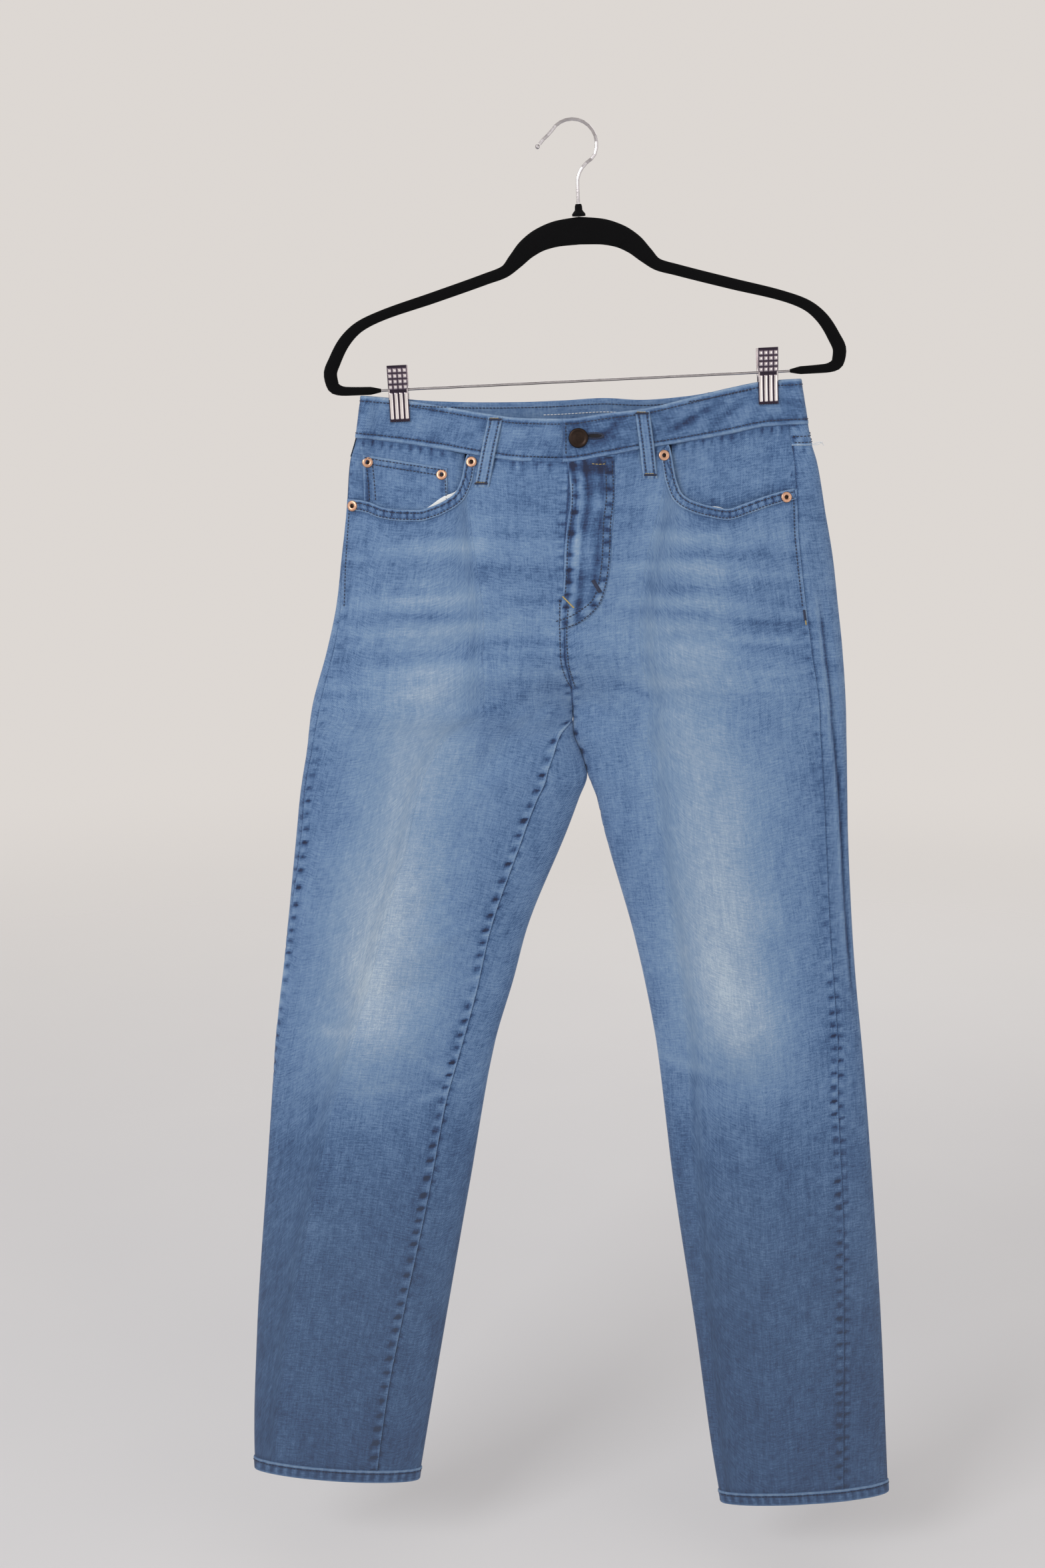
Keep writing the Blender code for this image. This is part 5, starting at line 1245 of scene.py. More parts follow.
def add_fly(look):
    """Add the fly lap with its worn edge and gathers, and the shield behind the zip."""
    edge = column(FLY, "z", "edge_x")
    stitch = column(FLY, "z", "stitch_x")
    z = np.linspace(FLY[0].z + 1.0, FLY[-1].z, 90)[:, None]
    across = edged(40, 1.4)[None, :]
    x = mix(edge(z), stitch(z) + 1.6, across)
    z = np.broadcast_to(z, x.shape)
    limit = WAIST_SEAM[FRONT](x) + 1.5
    cloth = lay_at_x(FRONT, x, np.minimum(z, limit))
    near_waist = smooth((WAIST_SEAM[FRONT](x) + 1.0 - z) / 4)
    cloth.lift(0.15)
    cloth.roll(1.0 * mix(0.5, 1.0, near_waist), ["first"])
    cloth.lift(-0.6 * smooth(1 - cloth.across_left / 6))
    cloth.pucker(cloth.z, cloth.across, 13.0, 12.0, 0.40, 71)
    cloth.cord(cloth.across - 9.5, 0.40, 2.6, 0.17)
    cloth.shade(cloth.across - 4.6, 1.3, 0.20)
    cloth.shade(cloth.across - 14.8, 2.2, 0.15)
    cloth.cord(cloth.across - 21.0, 0.3, 3.0, 0.08)
    cloth.shade(cloth.across - 27.5, 2.4, 0.12)
    cloth.pucker(cloth.z, cloth.across_left, 11.0, 10.0, 0.5, 73)
    crumple = cloudy(cloth.x / 9, cloth.z / 15, 17)
    crumple = crumple * smooth((cloth.z + 425) / 40) * smooth((-285 - cloth.z) / 20)
    cloth.lift(0.45 * crumple)
    # The raised crumples are paler and the dips darker: partly painted light and shade, partly ridges worn
    # paler
    cloth.pale = cloth.pale + 0.15 * crumple - 0.03
    cloth.shade(cloth.z + 279, 8.0, 0.20)
    cloth.shade(cloth.z + 388, 13.0, 0.12)
    add_cloth("fly_front", cloth, look)

    x = np.linspace(-16.0, 30.0, 22)[None, :]
    z = np.linspace(-282.0, -398.0, 40)[:, None]
    x, z = np.broadcast_arrays(x, z)
    shield = lay_at_x(FRONT, x, z)
    shield.lift(mix(-CLOTH - 0.6, SHIELD_LIFT, smooth((x + 12.0) / 9.0)))
    add_cloth("fly_shield", shield, look, thickness=1.0)


# Where the search for cloth starts over the skin, and how far it goes, in metres
TOUCH_FROM = 0.012
TOUCH_REACH = 0.03


def skin_at(face, x, z):
    """Return one point of the skin above the crotch, and its direction."""
    spot = lay_at_x(face, np.array([[x]]), np.array([[z]]))
    return spot.point[0, 0], spot.normal[0, 0]


def touch(point, normal, nodes):
    """Return where a line through a point meets the outermost of some cloth, and its direction."""
    start = Vector(point * MM) + Vector(normal) * TOUCH_FROM
    best = None
    for node in nodes:
        hit, out, _, distance = SURFACES[node].ray_cast(start, -Vector(normal), TOUCH_REACH)
        if hit is not None and (best is None or distance < best[2]):
            best = (hit, out if out.dot(Vector(normal)) > 0 else -out, distance)
    if best is None:
        return None
    return np.array(best[0]) / MM, np.array(best[1])


# A stitch: share of its length, height and thickness of each ring, in thread radii
THREAD_RINGS = ((0.0, -0.35, 0.55), (0.22, 0.75, 1.0), (0.78, 0.75, 1.0), (1.0, -0.35, 0.55))
THREAD_SIDES = 5


class Sewing:
    """Collects stitches and joins them into one piece of thread."""

    def __init__(self, name, look, radius=THREAD_RADIUS):
        self.name = name
        self.look = look
        self.radius = radius
        self.points = []
        self.faces = []

    def stitch(self, start, end, normal, rise=0.55):
        """Add one stitch as a low arch of thread between two points."""
        length = np.linalg.norm(end - start)
        if length < 0.2:
            return
        along = (end - start) / length
        side = np.cross(along, normal)
        side /= np.linalg.norm(side)
        base = len(self.points)
        for share, height, thick in THREAD_RINGS:
            middle = start + (end - start) * share + normal * self.radius * height * rise / 0.55
            for k in range(THREAD_SIDES):
                angle = 2 * math.pi * k / THREAD_SIDES
                out = side * math.cos(angle) + normal * math.sin(angle)
                self.points.append(middle + out * self.radius * thick)
        for ring in range(len(THREAD_RINGS) - 1):
            start_of_ring = base + ring * THREAD_SIDES
            for k in range(THREAD_SIDES):
                a = start_of_ring + k
                b = start_of_ring + (k + 1) % THREAD_SIDES
                self.faces.append((a, b, b + THREAD_SIDES, a + THREAD_SIDES))
        last = base + (len(THREAD_RINGS) - 1) * THREAD_SIDES
        self.faces.append(tuple(base + k for k in range(THREAD_SIDES))[::-1])
        self.faces.append(tuple(last + k for k in range(THREAD_SIDES)))

    def row(self, cloth, nodes, pitch=STITCH_PITCH, length=STITCH_LENGTH):
        """Sew along a row of points laid on the skin, on whatever cloth they cover."""
        path = cloth.point.reshape(-1, 3)
        normals = cloth.normal.reshape(-1, 3)
        run = run_along(path)
        for i in range(int(run[-1] // pitch)):
            ends = []
            for place in (i * pitch, i * pitch + length):
                point = np.array([np.interp(place, run, path[:, k]) for k in range(3)])
                normal = np.array([np.interp(place, run, normals[:, k]) for k in range(3)])
                ends.append(touch(point, normal / np.linalg.norm(normal), nodes))
            if ends[0] is None or ends[1] is None:
                continue
            if np.linalg.norm(ends[0][0] - ends[1][0]) > 1.6 * length:
                continue
            normal = ends[0][1] + ends[1][1]
            self.stitch(ends[0][0], ends[1][0], normal / np.linalg.norm(normal))

    def between(self, face, start, end, nodes, rise):
        """Add one stitch from one x, z to another, on the cloth under them."""
        tips = [touch(*skin_at(face, x, z), nodes) for x, z in (start, end)]
        if tips[0] is not None and tips[1] is not None:
            self.stitch(tips[0][0], tips[1][0], tips[0][1], rise)

    def bartack(self, face, start, end, nodes, width=1.9, spacing=0.5):
        """Sew a close bar of thread from one x, z to another."""
        start = np.array(start, float)
        end = np.array(end, float)
        length = np.linalg.norm(end - start)
        across = np.array([-(end - start)[1], (end - start)[0]]) / length * width / 2
        for i in range(int(length / spacing) + 1):
            middle = start + (end - start) * i * spacing / length
            tips = [middle + across * sign + (end - start) / length * 0.25 * sign for sign in (-1, 1)]
            self.between(face, *tips, nodes, rise=0.8)

    def finish(self):
        mesh = bpy.data.meshes.new(self.name)
        mesh.from_pydata((np.array(self.points) * MM).tolist(), [], self.faces)
        mesh.shade_smooth()
        mesh.materials.append(self.look)
        dress(new_object(self.name, mesh), [])


def line(face, rows):
    """Lay a row of sewing along given x, z points."""
    points = np.array(rows, float)
    run = run_along(points)
    places = np.linspace(0.0, run[-1], max(4, int(run[-1] / 1.5)))
    x = Curve(run, points[:, 0])(places)[None, :]
    z = Curve(run, points[:, 1])(places)[None, :]
    return lay_at_x(face, x, z)


def sew_waistband(dark, pale):
    """Sew the band's two rows, and the pale row inside the back of it."""
    start = band_angle(BAND_TOP_END_X) + 0.014
    angle = np.linspace(start, start + 2 * math.pi - 0.02, 700)[None, :]
    for share in (0.875, 0.115):
        dark.row(lay_band(angle, np.full(angle.shape, share)), ["waistband"])
    end = line(FRONT, [(BAND_TOP_END_X + 2.6, -245.0), (BAND_TOP_END_X + 2.9, -274.5)])
    dark.row(end, ["waistband"])
    for sewing, first, last, share in ((dark, 1.22, 1.80, 0.87), (pale, 1.42, 1.56, 0.69)):
        inside = np.linspace(math.pi * first, math.pi * last, 160)[None, :]
        row = lay_band(inside, np.full(inside.shape, share))
        row.normal = -row.normal
        row.lift(1.0)
        sewing.row(row, ["waistband"])


def sew_pockets(dark):
    """Sew the pocket mouths, the coin pocket and the back pockets."""
    at = np.linspace(0.012, 0.545, 240)
    for side in SIDES:
        for reach in (2.4, 7.6):
            dark.row(lay_row(side, FRONT, *beside_mouth(side, at, reach)), ["pocket_edge_" + side])
        for inset in (2.2, 8.6):
            side_run = np.linspace(inset / 130, 1 - inset / 300, 60)
            half = 1 - inset / 66
            foot_run = np.linspace(-half, half, 61)[1:-1]
            u = np.concatenate([np.full(60, -half), foot_run, np.full(60, half)])
            v = np.concatenate([side_run, np.full(59, 1 - inset / 150), side_run[::-1]])
            dark.row(lay_row(side, BACK, *back_pocket_point(side, u, v)), ["back_pocket_" + side])
        for inset in (2.4, 12.6):
            u = np.linspace(-0.965, 0.965, 80)
            x, z = back_pocket_point(side, u, np.full(80, inset / 139))
            dark.row(lay_row(side, BACK, x, z), ["back_pocket_" + side])
    across = np.linspace(0.02, 0.97, 60)
    for inset in (2.4, 7.0):
        x, z = coin_point(across)
        dark.row(lay_row(RIGHT, FRONT, x, z - inset), ["coin_pocket"])
    for x in (COIN_LEFT_X + 3.0, COIN_LEFT_X + 8.2, COIN_RIGHT_X - 3.0):
        dark.row(line(FRONT, [(x, -281.5), (x + 1.2, -296.0), (x + 2.2, -312.0)]), ["coin_pocket"])


# Rows of sewing at the front, in x and z, and loose ends of thread, in x, y and z
RISE_LEFT = [(-8.5, -393.8), (-8.3, -421.5), (-7.3, -445.7), (-2.6, -462.6), (3.5, -474.0)]
RISE_RIGHT = [(-1.2, -399.1), (-2.4, -421.5), (-1.0, -447.3), (2.6, -462.0), (6.0, -472.0)]
LOOSE_ENDS = [
    [(207.5, -3.4, -263.4), (210.5, -3.6, -262.2), (213.0, -3.2, -261.6), (215.4, -2.6, -262.6),
     (216.6, -2.2, -264.6)],
    [(206.5, -3.6, -263.6), (210.0, -4.2, -263.8), (213.4, -3.8, -262.9), (215.2, -3.4, -261.2)],
]
J_ROW = [(35.6, -277.4), (36.8, -304.4), (34.3, -329.6), (33.4, -357.1), (31.0, -377.2), (25.7, -395.7),
         (16.5, -406.7), (5.5, -414.2), (-7.6, -418.9)]


def sew_fly(dark, pale):
    """Sew the fly's curve, its edge, the centre seam below it and its bartacks."""
    nodes = ["fly_front", "front_leg_left", "front_leg_right"]
    for inset in (0.0, 6.0):
        row = [(x - inset * 0.98, z + inset * max(0.0, min(1.0, (-385 - z) / 25))) for x, z in J_ROW]
        dark.row(line(FRONT, row), nodes)
    edge = column(FLY, "z", "edge_x")
    rows = [(float(edge(z)) + 2.4, z) for z in (-296, -320, -345, -370, -392)]
    dark.row(line(FRONT, rows), nodes)
    dark.row(line(FRONT, RISE_LEFT), nodes)
    dark.row(line(FRONT, RISE_RIGHT), nodes)
    dark.bartack(FRONT, (19.8, -377.0), (26.0, -387.0), nodes, width=3.4)
    pale.bartack(FRONT, (-5.7, -391.0), (3.5, -400.3), nodes, width=1.2)
    pale.row(line(FRONT, [(18.5, -279.6), (25, -280.0), (33.0, -279.4)]), nodes)


def sew_loops(dark, pale):
    """Sew two rows down each loop, and a bar at its head and its foot."""
    for loop in LOOPS:
        top = float(BAND_TOP[loop.face](loop.top_x)) - 1.0
        foot = float(WAIST_SEAM[loop.face](loop.bottom_x)) - LOOP_BELOW_SEAM
        for offset in (-3.4, 3.4):
            ends = [(loop.top_x + offset, top - 2), (loop.bottom_x + offset, foot + 2)]
            dark.row(line(loop.face, ends), [loop.name])
        for x, z in ((loop.top_x, top - 2.6), (loop.bottom_x, foot + 2.8)):
            dark.bartack(loop.face, (x - 5.2, z), (x + 5.2, z), [loop.name])
            bar = line(loop.face, [(x - 4.6, z + 1.2), (x, z + 1.0), (x + 4.6, z + 1.2)])
            pale.row(bar, [loop.name], 1.9, 1.6)


def sew_back(dark):
    """Sew the yoke seams, the seat seam and the outseams down to their bartacks."""
    for side in SIDES:
        nodes = ["yoke_" + side, "back_leg_" + side]
        shares = np.linspace(0.0, 1.0, 220)
        first, last = seam_places(side, BACK, np.float64(-290.0))
        s = mix(first, last, shares) * 0.995
        foot = yoke_foot(side, place_x(side, s, -300.0), s)
        for inset in (2.2, 7.4):
            z = (foot + inset)[None, :]
            dark.row(lay_at_place(side, np.broadcast_to(s, z.shape), z), nodes)
        z = np.linspace(-268.0, -404.0, 90)
        step = place_step(side, OUTSEAM[side](z), z, 2.6)
        row = lay_at_place(side, (OUTSEAM[side](z) + step)[None, :], z[None, :])
        dark.row(row, nodes + ["front_leg_" + side])
    for offset in (2.2, 7.6):
        rows = [(float(CENTRE_X(z)) + offset, z) for z in (-266, -300, -350, -400, -440, -466)]
        dark.row(line(BACK, rows), ["back_leg_left", "yoke_left"])


def sew_side_end(dark, pale):
    """Sew the bartack that ends the left side seam's outer row."""
    z = [-404.0, -412.5]
    x = [float(place_x(LEFT, OUTSEAM[LEFT](level), level)) - 1.6 for level in z]
    nodes = ["front_leg_left", "back_leg_left"]
    dark.bartack(FRONT, (x[0], z[0]), (x[1], z[1]), nodes, width=2.2)
    pale.bartack(FRONT, (x[1] + 0.2, z[1]), (x[1] + 0.8, z[1] - 4.0), nodes, width=1.0)


def loosen_ends(pale):
    """Add the two loose ends of thread where the yoke seam meets the left edge."""
    for end in LOOSE_ENDS:
        path = smooth_path(end, 1.3)
        for a, b in zip(path, path[1:]):
            pale.stitch(a, b, np.array([0.0, -1.0, 0.0]), rise=0.0)


def sew_hems(dark):
    """Sew one row round each hem."""
    around = np.linspace(-1.0, 1.0, 500)
    for side in SIDES:
        top = leg_foot(side, lambda z: around, HEM_HEIGHT)
        row = lay_at_place(side, around[None, :], (top - HEM_HEIGHT * HEM_SEAM)[None, :])
        dark.row(row, ["hem_" + side])


def sew_buttonhole(dark):
    """Sew the close stitches round the buttonhole's keyhole end."""
    for i in range(BUTTONHOLE_STITCHES):
        angle = 2 * math.pi * i / BUTTONHOLE_STITCHES
        ends = []
        for reach, rise in ((6.0, 1.2), (8.4, 3.4)):
            ends.append((BUTTONHOLE_X + 0.5 + reach * math.cos(angle), BUTTONHOLE_Z + rise * math.sin(angle)))
        dark.between(FRONT, *ends, ["waistband"], rise=0.9)


def turned(name, profile, steps, look, middle=None, within=0.0):
    """Add a body turned from (radius, height) rows, with another look within a radius."""
    shape = bmesh.new()
    rows = []
    for radius, height in profile:
        row = []
        for k in range(steps):
            angle = 2 * math.pi * k / steps
            place = (radius * math.cos(angle) * MM, radius * math.sin(angle) * MM, height * MM)
            row.append(shape.verts.new(place))
        rows.append(row)
    for a, b in zip(rows, rows[1:]):
        for k in range(steps):
            shape.faces.new((a[k], a[(k + 1) % steps], b[(k + 1) % steps], b[k]))
    shape.faces.new(rows[0][::-1])
    shape.faces.new(rows[-1])
    bmesh.ops.recalc_face_normals(shape, faces=shape.faces)
    mesh = bpy.data.meshes.new(name)
    shape.to_mesh(mesh)
    shape.free()
    mesh.shade_smooth()
    mesh.set_sharp_from_angle(angle=math.radians(50))
    mesh.materials.append(look)
    if middle is not None:
        mesh.materials.append(middle)
        for face in mesh.polygons:
            if math.hypot(face.center.x, face.center.y) < within * MM:
                face.material_index = 1
    return new_object(name, mesh)


def seat_on(item, x, z, nodes):
    """Stand a turned piece on the cloth under it."""
    under, normal = skin_at(FRONT, x, z)
    point, _ = touch(under, normal, nodes)
    turn = Vector(normal).to_track_quat("Z", "X").to_matrix().to_4x4()
    turn.translation = Vector(point) * MM
    item.matrix_world = turn


UNDER_RIVETS = ["coin_pocket", "pocket_facing_right", "pocket_edge_right", "front_leg_right",
                "pocket_edge_left", "front_leg_left"]


def add_rivet(rivet, look, dark):
    """Add a copper rivet: a domed ring round a dark sunk middle with its pin."""
    r = RIVET_RADIUS
    profile = [(0.15, 0.62), (0.5, 0.6), (0.75, 0.3), (1.0, 0.1), (1.5, 0.1), (1.75, 0.55), (2.1, 0.85),
               (3.0, 0.95), (3.9, 0.85), (r - 0.25, 0.62), (r, 0.3), (r, -0.25), (r * 0.9, -0.3)]
    item = turned(rivet.name + "_cap", profile, 40, look, dark, 1.7)
    seat_on(item, rivet.x, rivet.z, UNDER_RIVETS)
    dress(item, [rivet.name])


def add_button(look, hole):
    """Add the button: a dished cap with a rolled rim, over the keyhole, whose opening is a dark sheet of
    painted shade.
    """
    r = BUTTON_RADIUS
    profile = [(0.2, 2.35), (2.2, 2.4), (4.4, 2.3), (5.4, 2.15), (5.9, 2.5), (6.6, 2.85), (7.4, 2.8),
               (8.0, 2.4), (r, 1.8), (8.0, 1.2), (6.0, 0.8), (4.2, 0.6), (3.6, 0.2), (3.6, -0.3)]
    item = turned("button_cap", profile, 64, look)
    seat_on(item, BUTTON_X, BUTTON_Z, ["waistband"])
    dress(item, ["button"])
    # The keyhole's opening is a dark sheet standing in for the shade inside it
    slit = turned("buttonhole", [(0.2, 0.12), (4.0, 0.12), (6.4, 0.08), (6.9, -0.1)], 32, hole)
    seat_on(slit, BUTTONHOLE_X, BUTTONHOLE_Z, ["waistband"])
    for vertex in slit.data.vertices:
        vertex.co.x *= 0.26
    dress(slit, [])


def hanger_place(x, y, z):
    """Turn a point of the upright hanger to where it hangs."""
    c = math.cos(HANGER_TILT)
    s = math.sin(HANGER_TILT)
    return (x * c + z * s, y, z * c - x * s)


def hung_mesh(name, points, faces, look, node, angle=40):
    """Add a piece given in the hanger's own frame."""
    mesh = bpy.data.meshes.new(name)
    placed = [tuple(value * MM for value in hanger_place(*point)) for point in points]
    mesh.from_pydata(placed, [], faces)
    shape = bmesh.new()
    shape.from_mesh(mesh)
    bmesh.ops.recalc_face_normals(shape, faces=shape.faces)
    shape.to_mesh(mesh)
    shape.free()
    mesh.shade_smooth()
    mesh.set_sharp_from_angle(angle=math.radians(angle))
    mesh.materials.append(look)
    return dress(new_object(name, mesh), [node])


def tube_faces(rings, sides):
    """Return the faces of a closed tube of rings."""
    faces = []
    for i in range(rings - 1):
        for k in range(sides):
            a = i * sides + k
            b = i * sides + (k + 1) % sides
            faces.append((a, b, b + sides, a + sides))
    faces.append(tuple(range(sides)))
    faces.append(tuple((rings - 1) * sides + k for k in range(sides)))
    return faces


def smooth_path(rows, step):
    """Return points along a soft curve through named rows."""
    points = np.array(rows, float)
    run = run_along(points)
    count = max(2, round(run[-1] / step))
    places = np.linspace(0.0, run[-1], count + 1)
    return np.stack([Curve(run, points[:, k])(places) for k in range(points.shape[1])], axis=1)


def add_hanger_body(look):
    """Add the flocked bow, round-edged, with its ends turned in to the bar."""
    half = smooth_path([tuple(row) for row in HANGER_ARM], 3.0)
    mirrored = half[:0:-1] * np.array([-1.0, 1.0, 1.0])
    path = np.concatenate([mirrored, half])
    along = np.gradient(path[:, :2], axis=0)
    along /= np.linalg.norm(along, axis=1, keepdims=True)
    sides = 20
    points = []
    for i, (x, z, width) in enumerate(path):
        from_end = min(i, len(path) - 1 - i)
        close = min(1.0, 0.45 + 0.2 * from_end)
        for k in range(sides):
            angle = 2 * math.pi * k / sides
            flat = math.copysign(abs(math.cos(angle)) ** 0.55, math.cos(angle))
            deep = math.copysign(abs(math.sin(angle)) ** 0.75, math.sin(angle))
            across = flat * width / 2 * close
            points.append((HANGER_X + x - along[i, 1] * across, deep * HANGER_THICK / 2 * close,
                           z + along[i, 0] * across))
    hung_mesh("hanger_flocked", points, tube_faces(len(path), sides), look, "hanger_body")


JAW_DEPTH = column(JAW, "z", "y")
JAW_HALF_HEIGHT = 23.3
TEETH_FROM = 46.0
TOOTH_DEPTH = 0.7
TOOTH_PITCH = 2.1


def jaw_pattern(across, down):
    """Return the height of the pressed pattern: points above, ribs below."""
    pitch = 2 * CLIP_HALF_WIDTH / 4
    u = np.abs(((across + CLIP_HALF_WIDTH) / pitch) % 1.0 - 0.5) * 2
    v = np.abs(((down - 2.0) / 4.6) % 1.0 - 0.5) * 2
    points = 0.85 * (1 - np.maximum(u, v))
    rib = 0.8 * np.sqrt(np.maximum(0.0, 1 - (np.minimum(1.0, u / 0.72)) ** 2))
    top = smooth((down - 1.4) / 0.8) * smooth((20.6 - down) / 0.8)
    low = smooth((down - 22.4) / 1.2) * smooth((45.2 - down) / 1.0)
    rim = smooth((CLIP_HALF_WIDTH - np.abs(across)) / 0.8)
    return (points * top + rib * low) * rim


def add_jaw(name, side, face, ear_x, look):
    """Add one jaw with its pressed face, turned sides, toothed foot and ears."""
    across = np.linspace(-CLIP_HALF_WIDTH, CLIP_HALF_WIDTH, 57)
    down = np.linspace(0.0, 2 * JAW_HALF_HEIGHT, 134)
    points = []
    faces = []
    heights = []
    for outer in (True, False):
        for d in down:
            z = JAW_HALF_HEIGHT - d
            middle = float(JAW_DEPTH(z))
            teeth = TOOTH_DEPTH if d > TEETH_FROM else 0.0
            for a in across:
                height = -PLATE / 2
                relief = 0.5
                if outer:
                    relief = float(jaw_pattern(a, d))
                    height = PLATE / 2 + relief * 0.75 - 0.45 * max(0.0, abs(a) - CLIP_HALF_WIDTH + 0.7)
                tooth = teeth * (0.5 + 0.5 * math.cos(2 * math.pi * a / TOOTH_PITCH))
                heights.append(relief)
                points.append((CLIP_HANGER_X[side] + a, face * (middle + height), CLIP_Z + z - tooth))
    columns = len(across)
    rows = len(down)
    half = rows * columns
    for i in range(rows - 1):
        for j in range(columns - 1):
            a = i * columns + j
            faces.append((a, a + 1, a + columns + 1, a + columns))
            faces.append((half + a, half + a + columns, half + a + columns + 1, half + a + 1))
    rim = [(j, j + 1) for j in range(columns - 1)]
    rim += [((rows - 1) * columns + j, (rows - 1) * columns + j + 1) for j in range(columns - 1)]
    rim += [(i * columns, (i + 1) * columns) for i in range(rows - 1)]
    rim += [((i + 1) * columns - 1, (i + 2) * columns - 1) for i in range(rows - 1)]
    faces += [(a, b, half + b, half + a) for a, b in rim]
    hub = BAR_Z - CLIP_Z
    outline = [(5.4, hub - 8.0), (3.2, hub - 5.4), (1.2, hub - 3.6), (-1.4, hub - 3.0), (-3.0, hub - 1.6),
               (-3.3, hub), (-3.0, hub + 1.6), (-1.4, hub + 3.0), (1.2, hub + 3.6), (4.0, hub + 5.2),
               (6.8, hub + 7.2), (6.4, hub)]
    for sign in (-1, 1):
        base = len(points)
        count = len(outline)
        for offset in (-0.5, 0.5):
            for y, z in outline:
                points.append((CLIP_HANGER_X[side] + ear_x * sign + offset, face * y, CLIP_Z + z))
        faces.append(tuple(base + k for k in range(count)))
        faces.append(tuple(base + count + k for k in range(count)))
        for k in range(count):
            after = base + (k + 1) % count
            faces.append((base + k, after, after + count, base + count + k))
    item = hung_mesh(name + "_pressed", points, faces, look, name, angle=28)
    values = item.data.attributes.new("relief", "FLOAT", "POINT")
    values.data.foreach_set("value", heights + [0.5] * (len(points) - len(heights)))


def rgb(red, green, blue):
    """Return a linear colour with alpha from its screen values out of 255."""
    out = []
    for value in (red, green, blue):
        value /= 255
        out.append(value / 12.92 if value <= 0.04045 else ((value + 0.055) / 1.055) ** 2.4)
    return (*out, 1.0)


def both_ways(operation):
    """Return the methods that put a socket first and second in a Math node."""
    def first(self, other):
        return self.look.node("ShaderNodeMath", {"operation": operation}, {0: self, 1: other})

    def second(self, other):
        return self.look.node("ShaderNodeMath", {"operation": operation}, {0: other, 1: self})

    return first, second


class Socket:
    """A node socket that can be used in sums."""

    __add__, __radd__ = both_ways("ADD")
    __sub__, __rsub__ = both_ways("SUBTRACT")
    __mul__, __rmul__ = both_ways("MULTIPLY")

    def __init__(self, look, socket):
        self.look = look
        self.socket = socket


class Look:
    """A material under construction, ending in its Principled shader."""

    def __init__(self, name, roughness=0.8, metallic=0.0, **constants):
        self.material = bpy.data.materials.new(name)
        self.material.use_nodes = True
        self.tree = self.material.node_tree
        self.shader = self.tree.nodes["Principled BSDF"]
        self.shader.inputs["Roughness"].default_value = roughness
        self.shader.inputs["Metallic"].default_value = metallic
        for key, value in constants.items():
            self.shader.inputs[key.replace("_", " ").title()].default_value = value

    def node(self, kind, settings=None, inputs=None, output=0):
        """Add a node: its settings first, then its sockets' values or links."""
        made = self.tree.nodes.new(kind)
        for key, value in (settings or {}).items():
            if key == "stops":
                ramp = made.color_ramp
                while len(ramp.elements) < len(value):
                    ramp.elements.new(0.5)
                for element, (place, colour) in zip(ramp.elements, value):
                    element.position = place
                    element.color = colour
            else:
                setattr(made, key, value)
        for key, value in (inputs or {}).items():
            if isinstance(value, Socket):
                self.tree.links.new(value.socket, made.inputs[key])
            else:
                made.inputs[key].default_value = value
        return Socket(self, made.outputs[output])

    def attribute(self, name, output="Fac"):
        return self.node("ShaderNodeAttribute", {"attribute_name": name}, output=output)

    def noise(self, vector, scale, detail=2.0, rough=0.5, stretch=(1, 1, 1)):
        """Return noise between 0 and 1, stretched along the axes."""
        inputs = {"Vector": vector, "Scale": stretch}
        moved = self.node("ShaderNodeMapping", {"vector_type": "POINT"}, inputs)
        return self.node("ShaderNodeTexNoise", {"noise_dimensions": "3D"},
                         {"Vector": moved, "Scale": scale, "Detail": detail, "Roughness": rough}, "Fac")

    def mix(self, factor, a, b):
        """Mix two colours."""
        return self.node("ShaderNodeMix", {"data_type": "RGBA"}, {0: factor, 6: a, 7: b}, 2)

    def ramp(self, factor, stops):
        return self.node("ShaderNodeValToRGB", {"stops": stops}, {"Fac": factor}, "Color")

    def step(self, value, start, end, first, last):
        """Return a soft step from a first value to a last one, between a start and an end."""
        inputs = {"Value": value, "From Min": start, "From Max": end, "To Min": first, "To Max": last}
        return self.node("ShaderNodeMapRange", {"interpolation_type": "SMOOTHSTEP"}, inputs, "Result")

    def bump(self, height, strength, distance):
        inputs = {"Height": height, "Strength": strength, "Distance": distance}
        return self.node("ShaderNodeBump", {}, inputs, "Normal")

    def set(self, **inputs):
        for key, value in inputs.items():
            self.tree.links.new(value.socket, self.shader.inputs[key.replace("_", " ").title()])
        return self.material


# Colours of the wash, from unworn to worn white
INDIGO = [
    (0.00, rgb(22, 33, 63)),
    (0.16, rgb(35, 59, 100)),
    (0.32, rgb(61, 93, 135)),
    (0.46, rgb(93, 123, 163)),
    (0.62, rgb(114, 142, 175)),
    (0.80, rgb(140, 161, 186)),
    (1.00, rgb(176, 192, 206)),
]


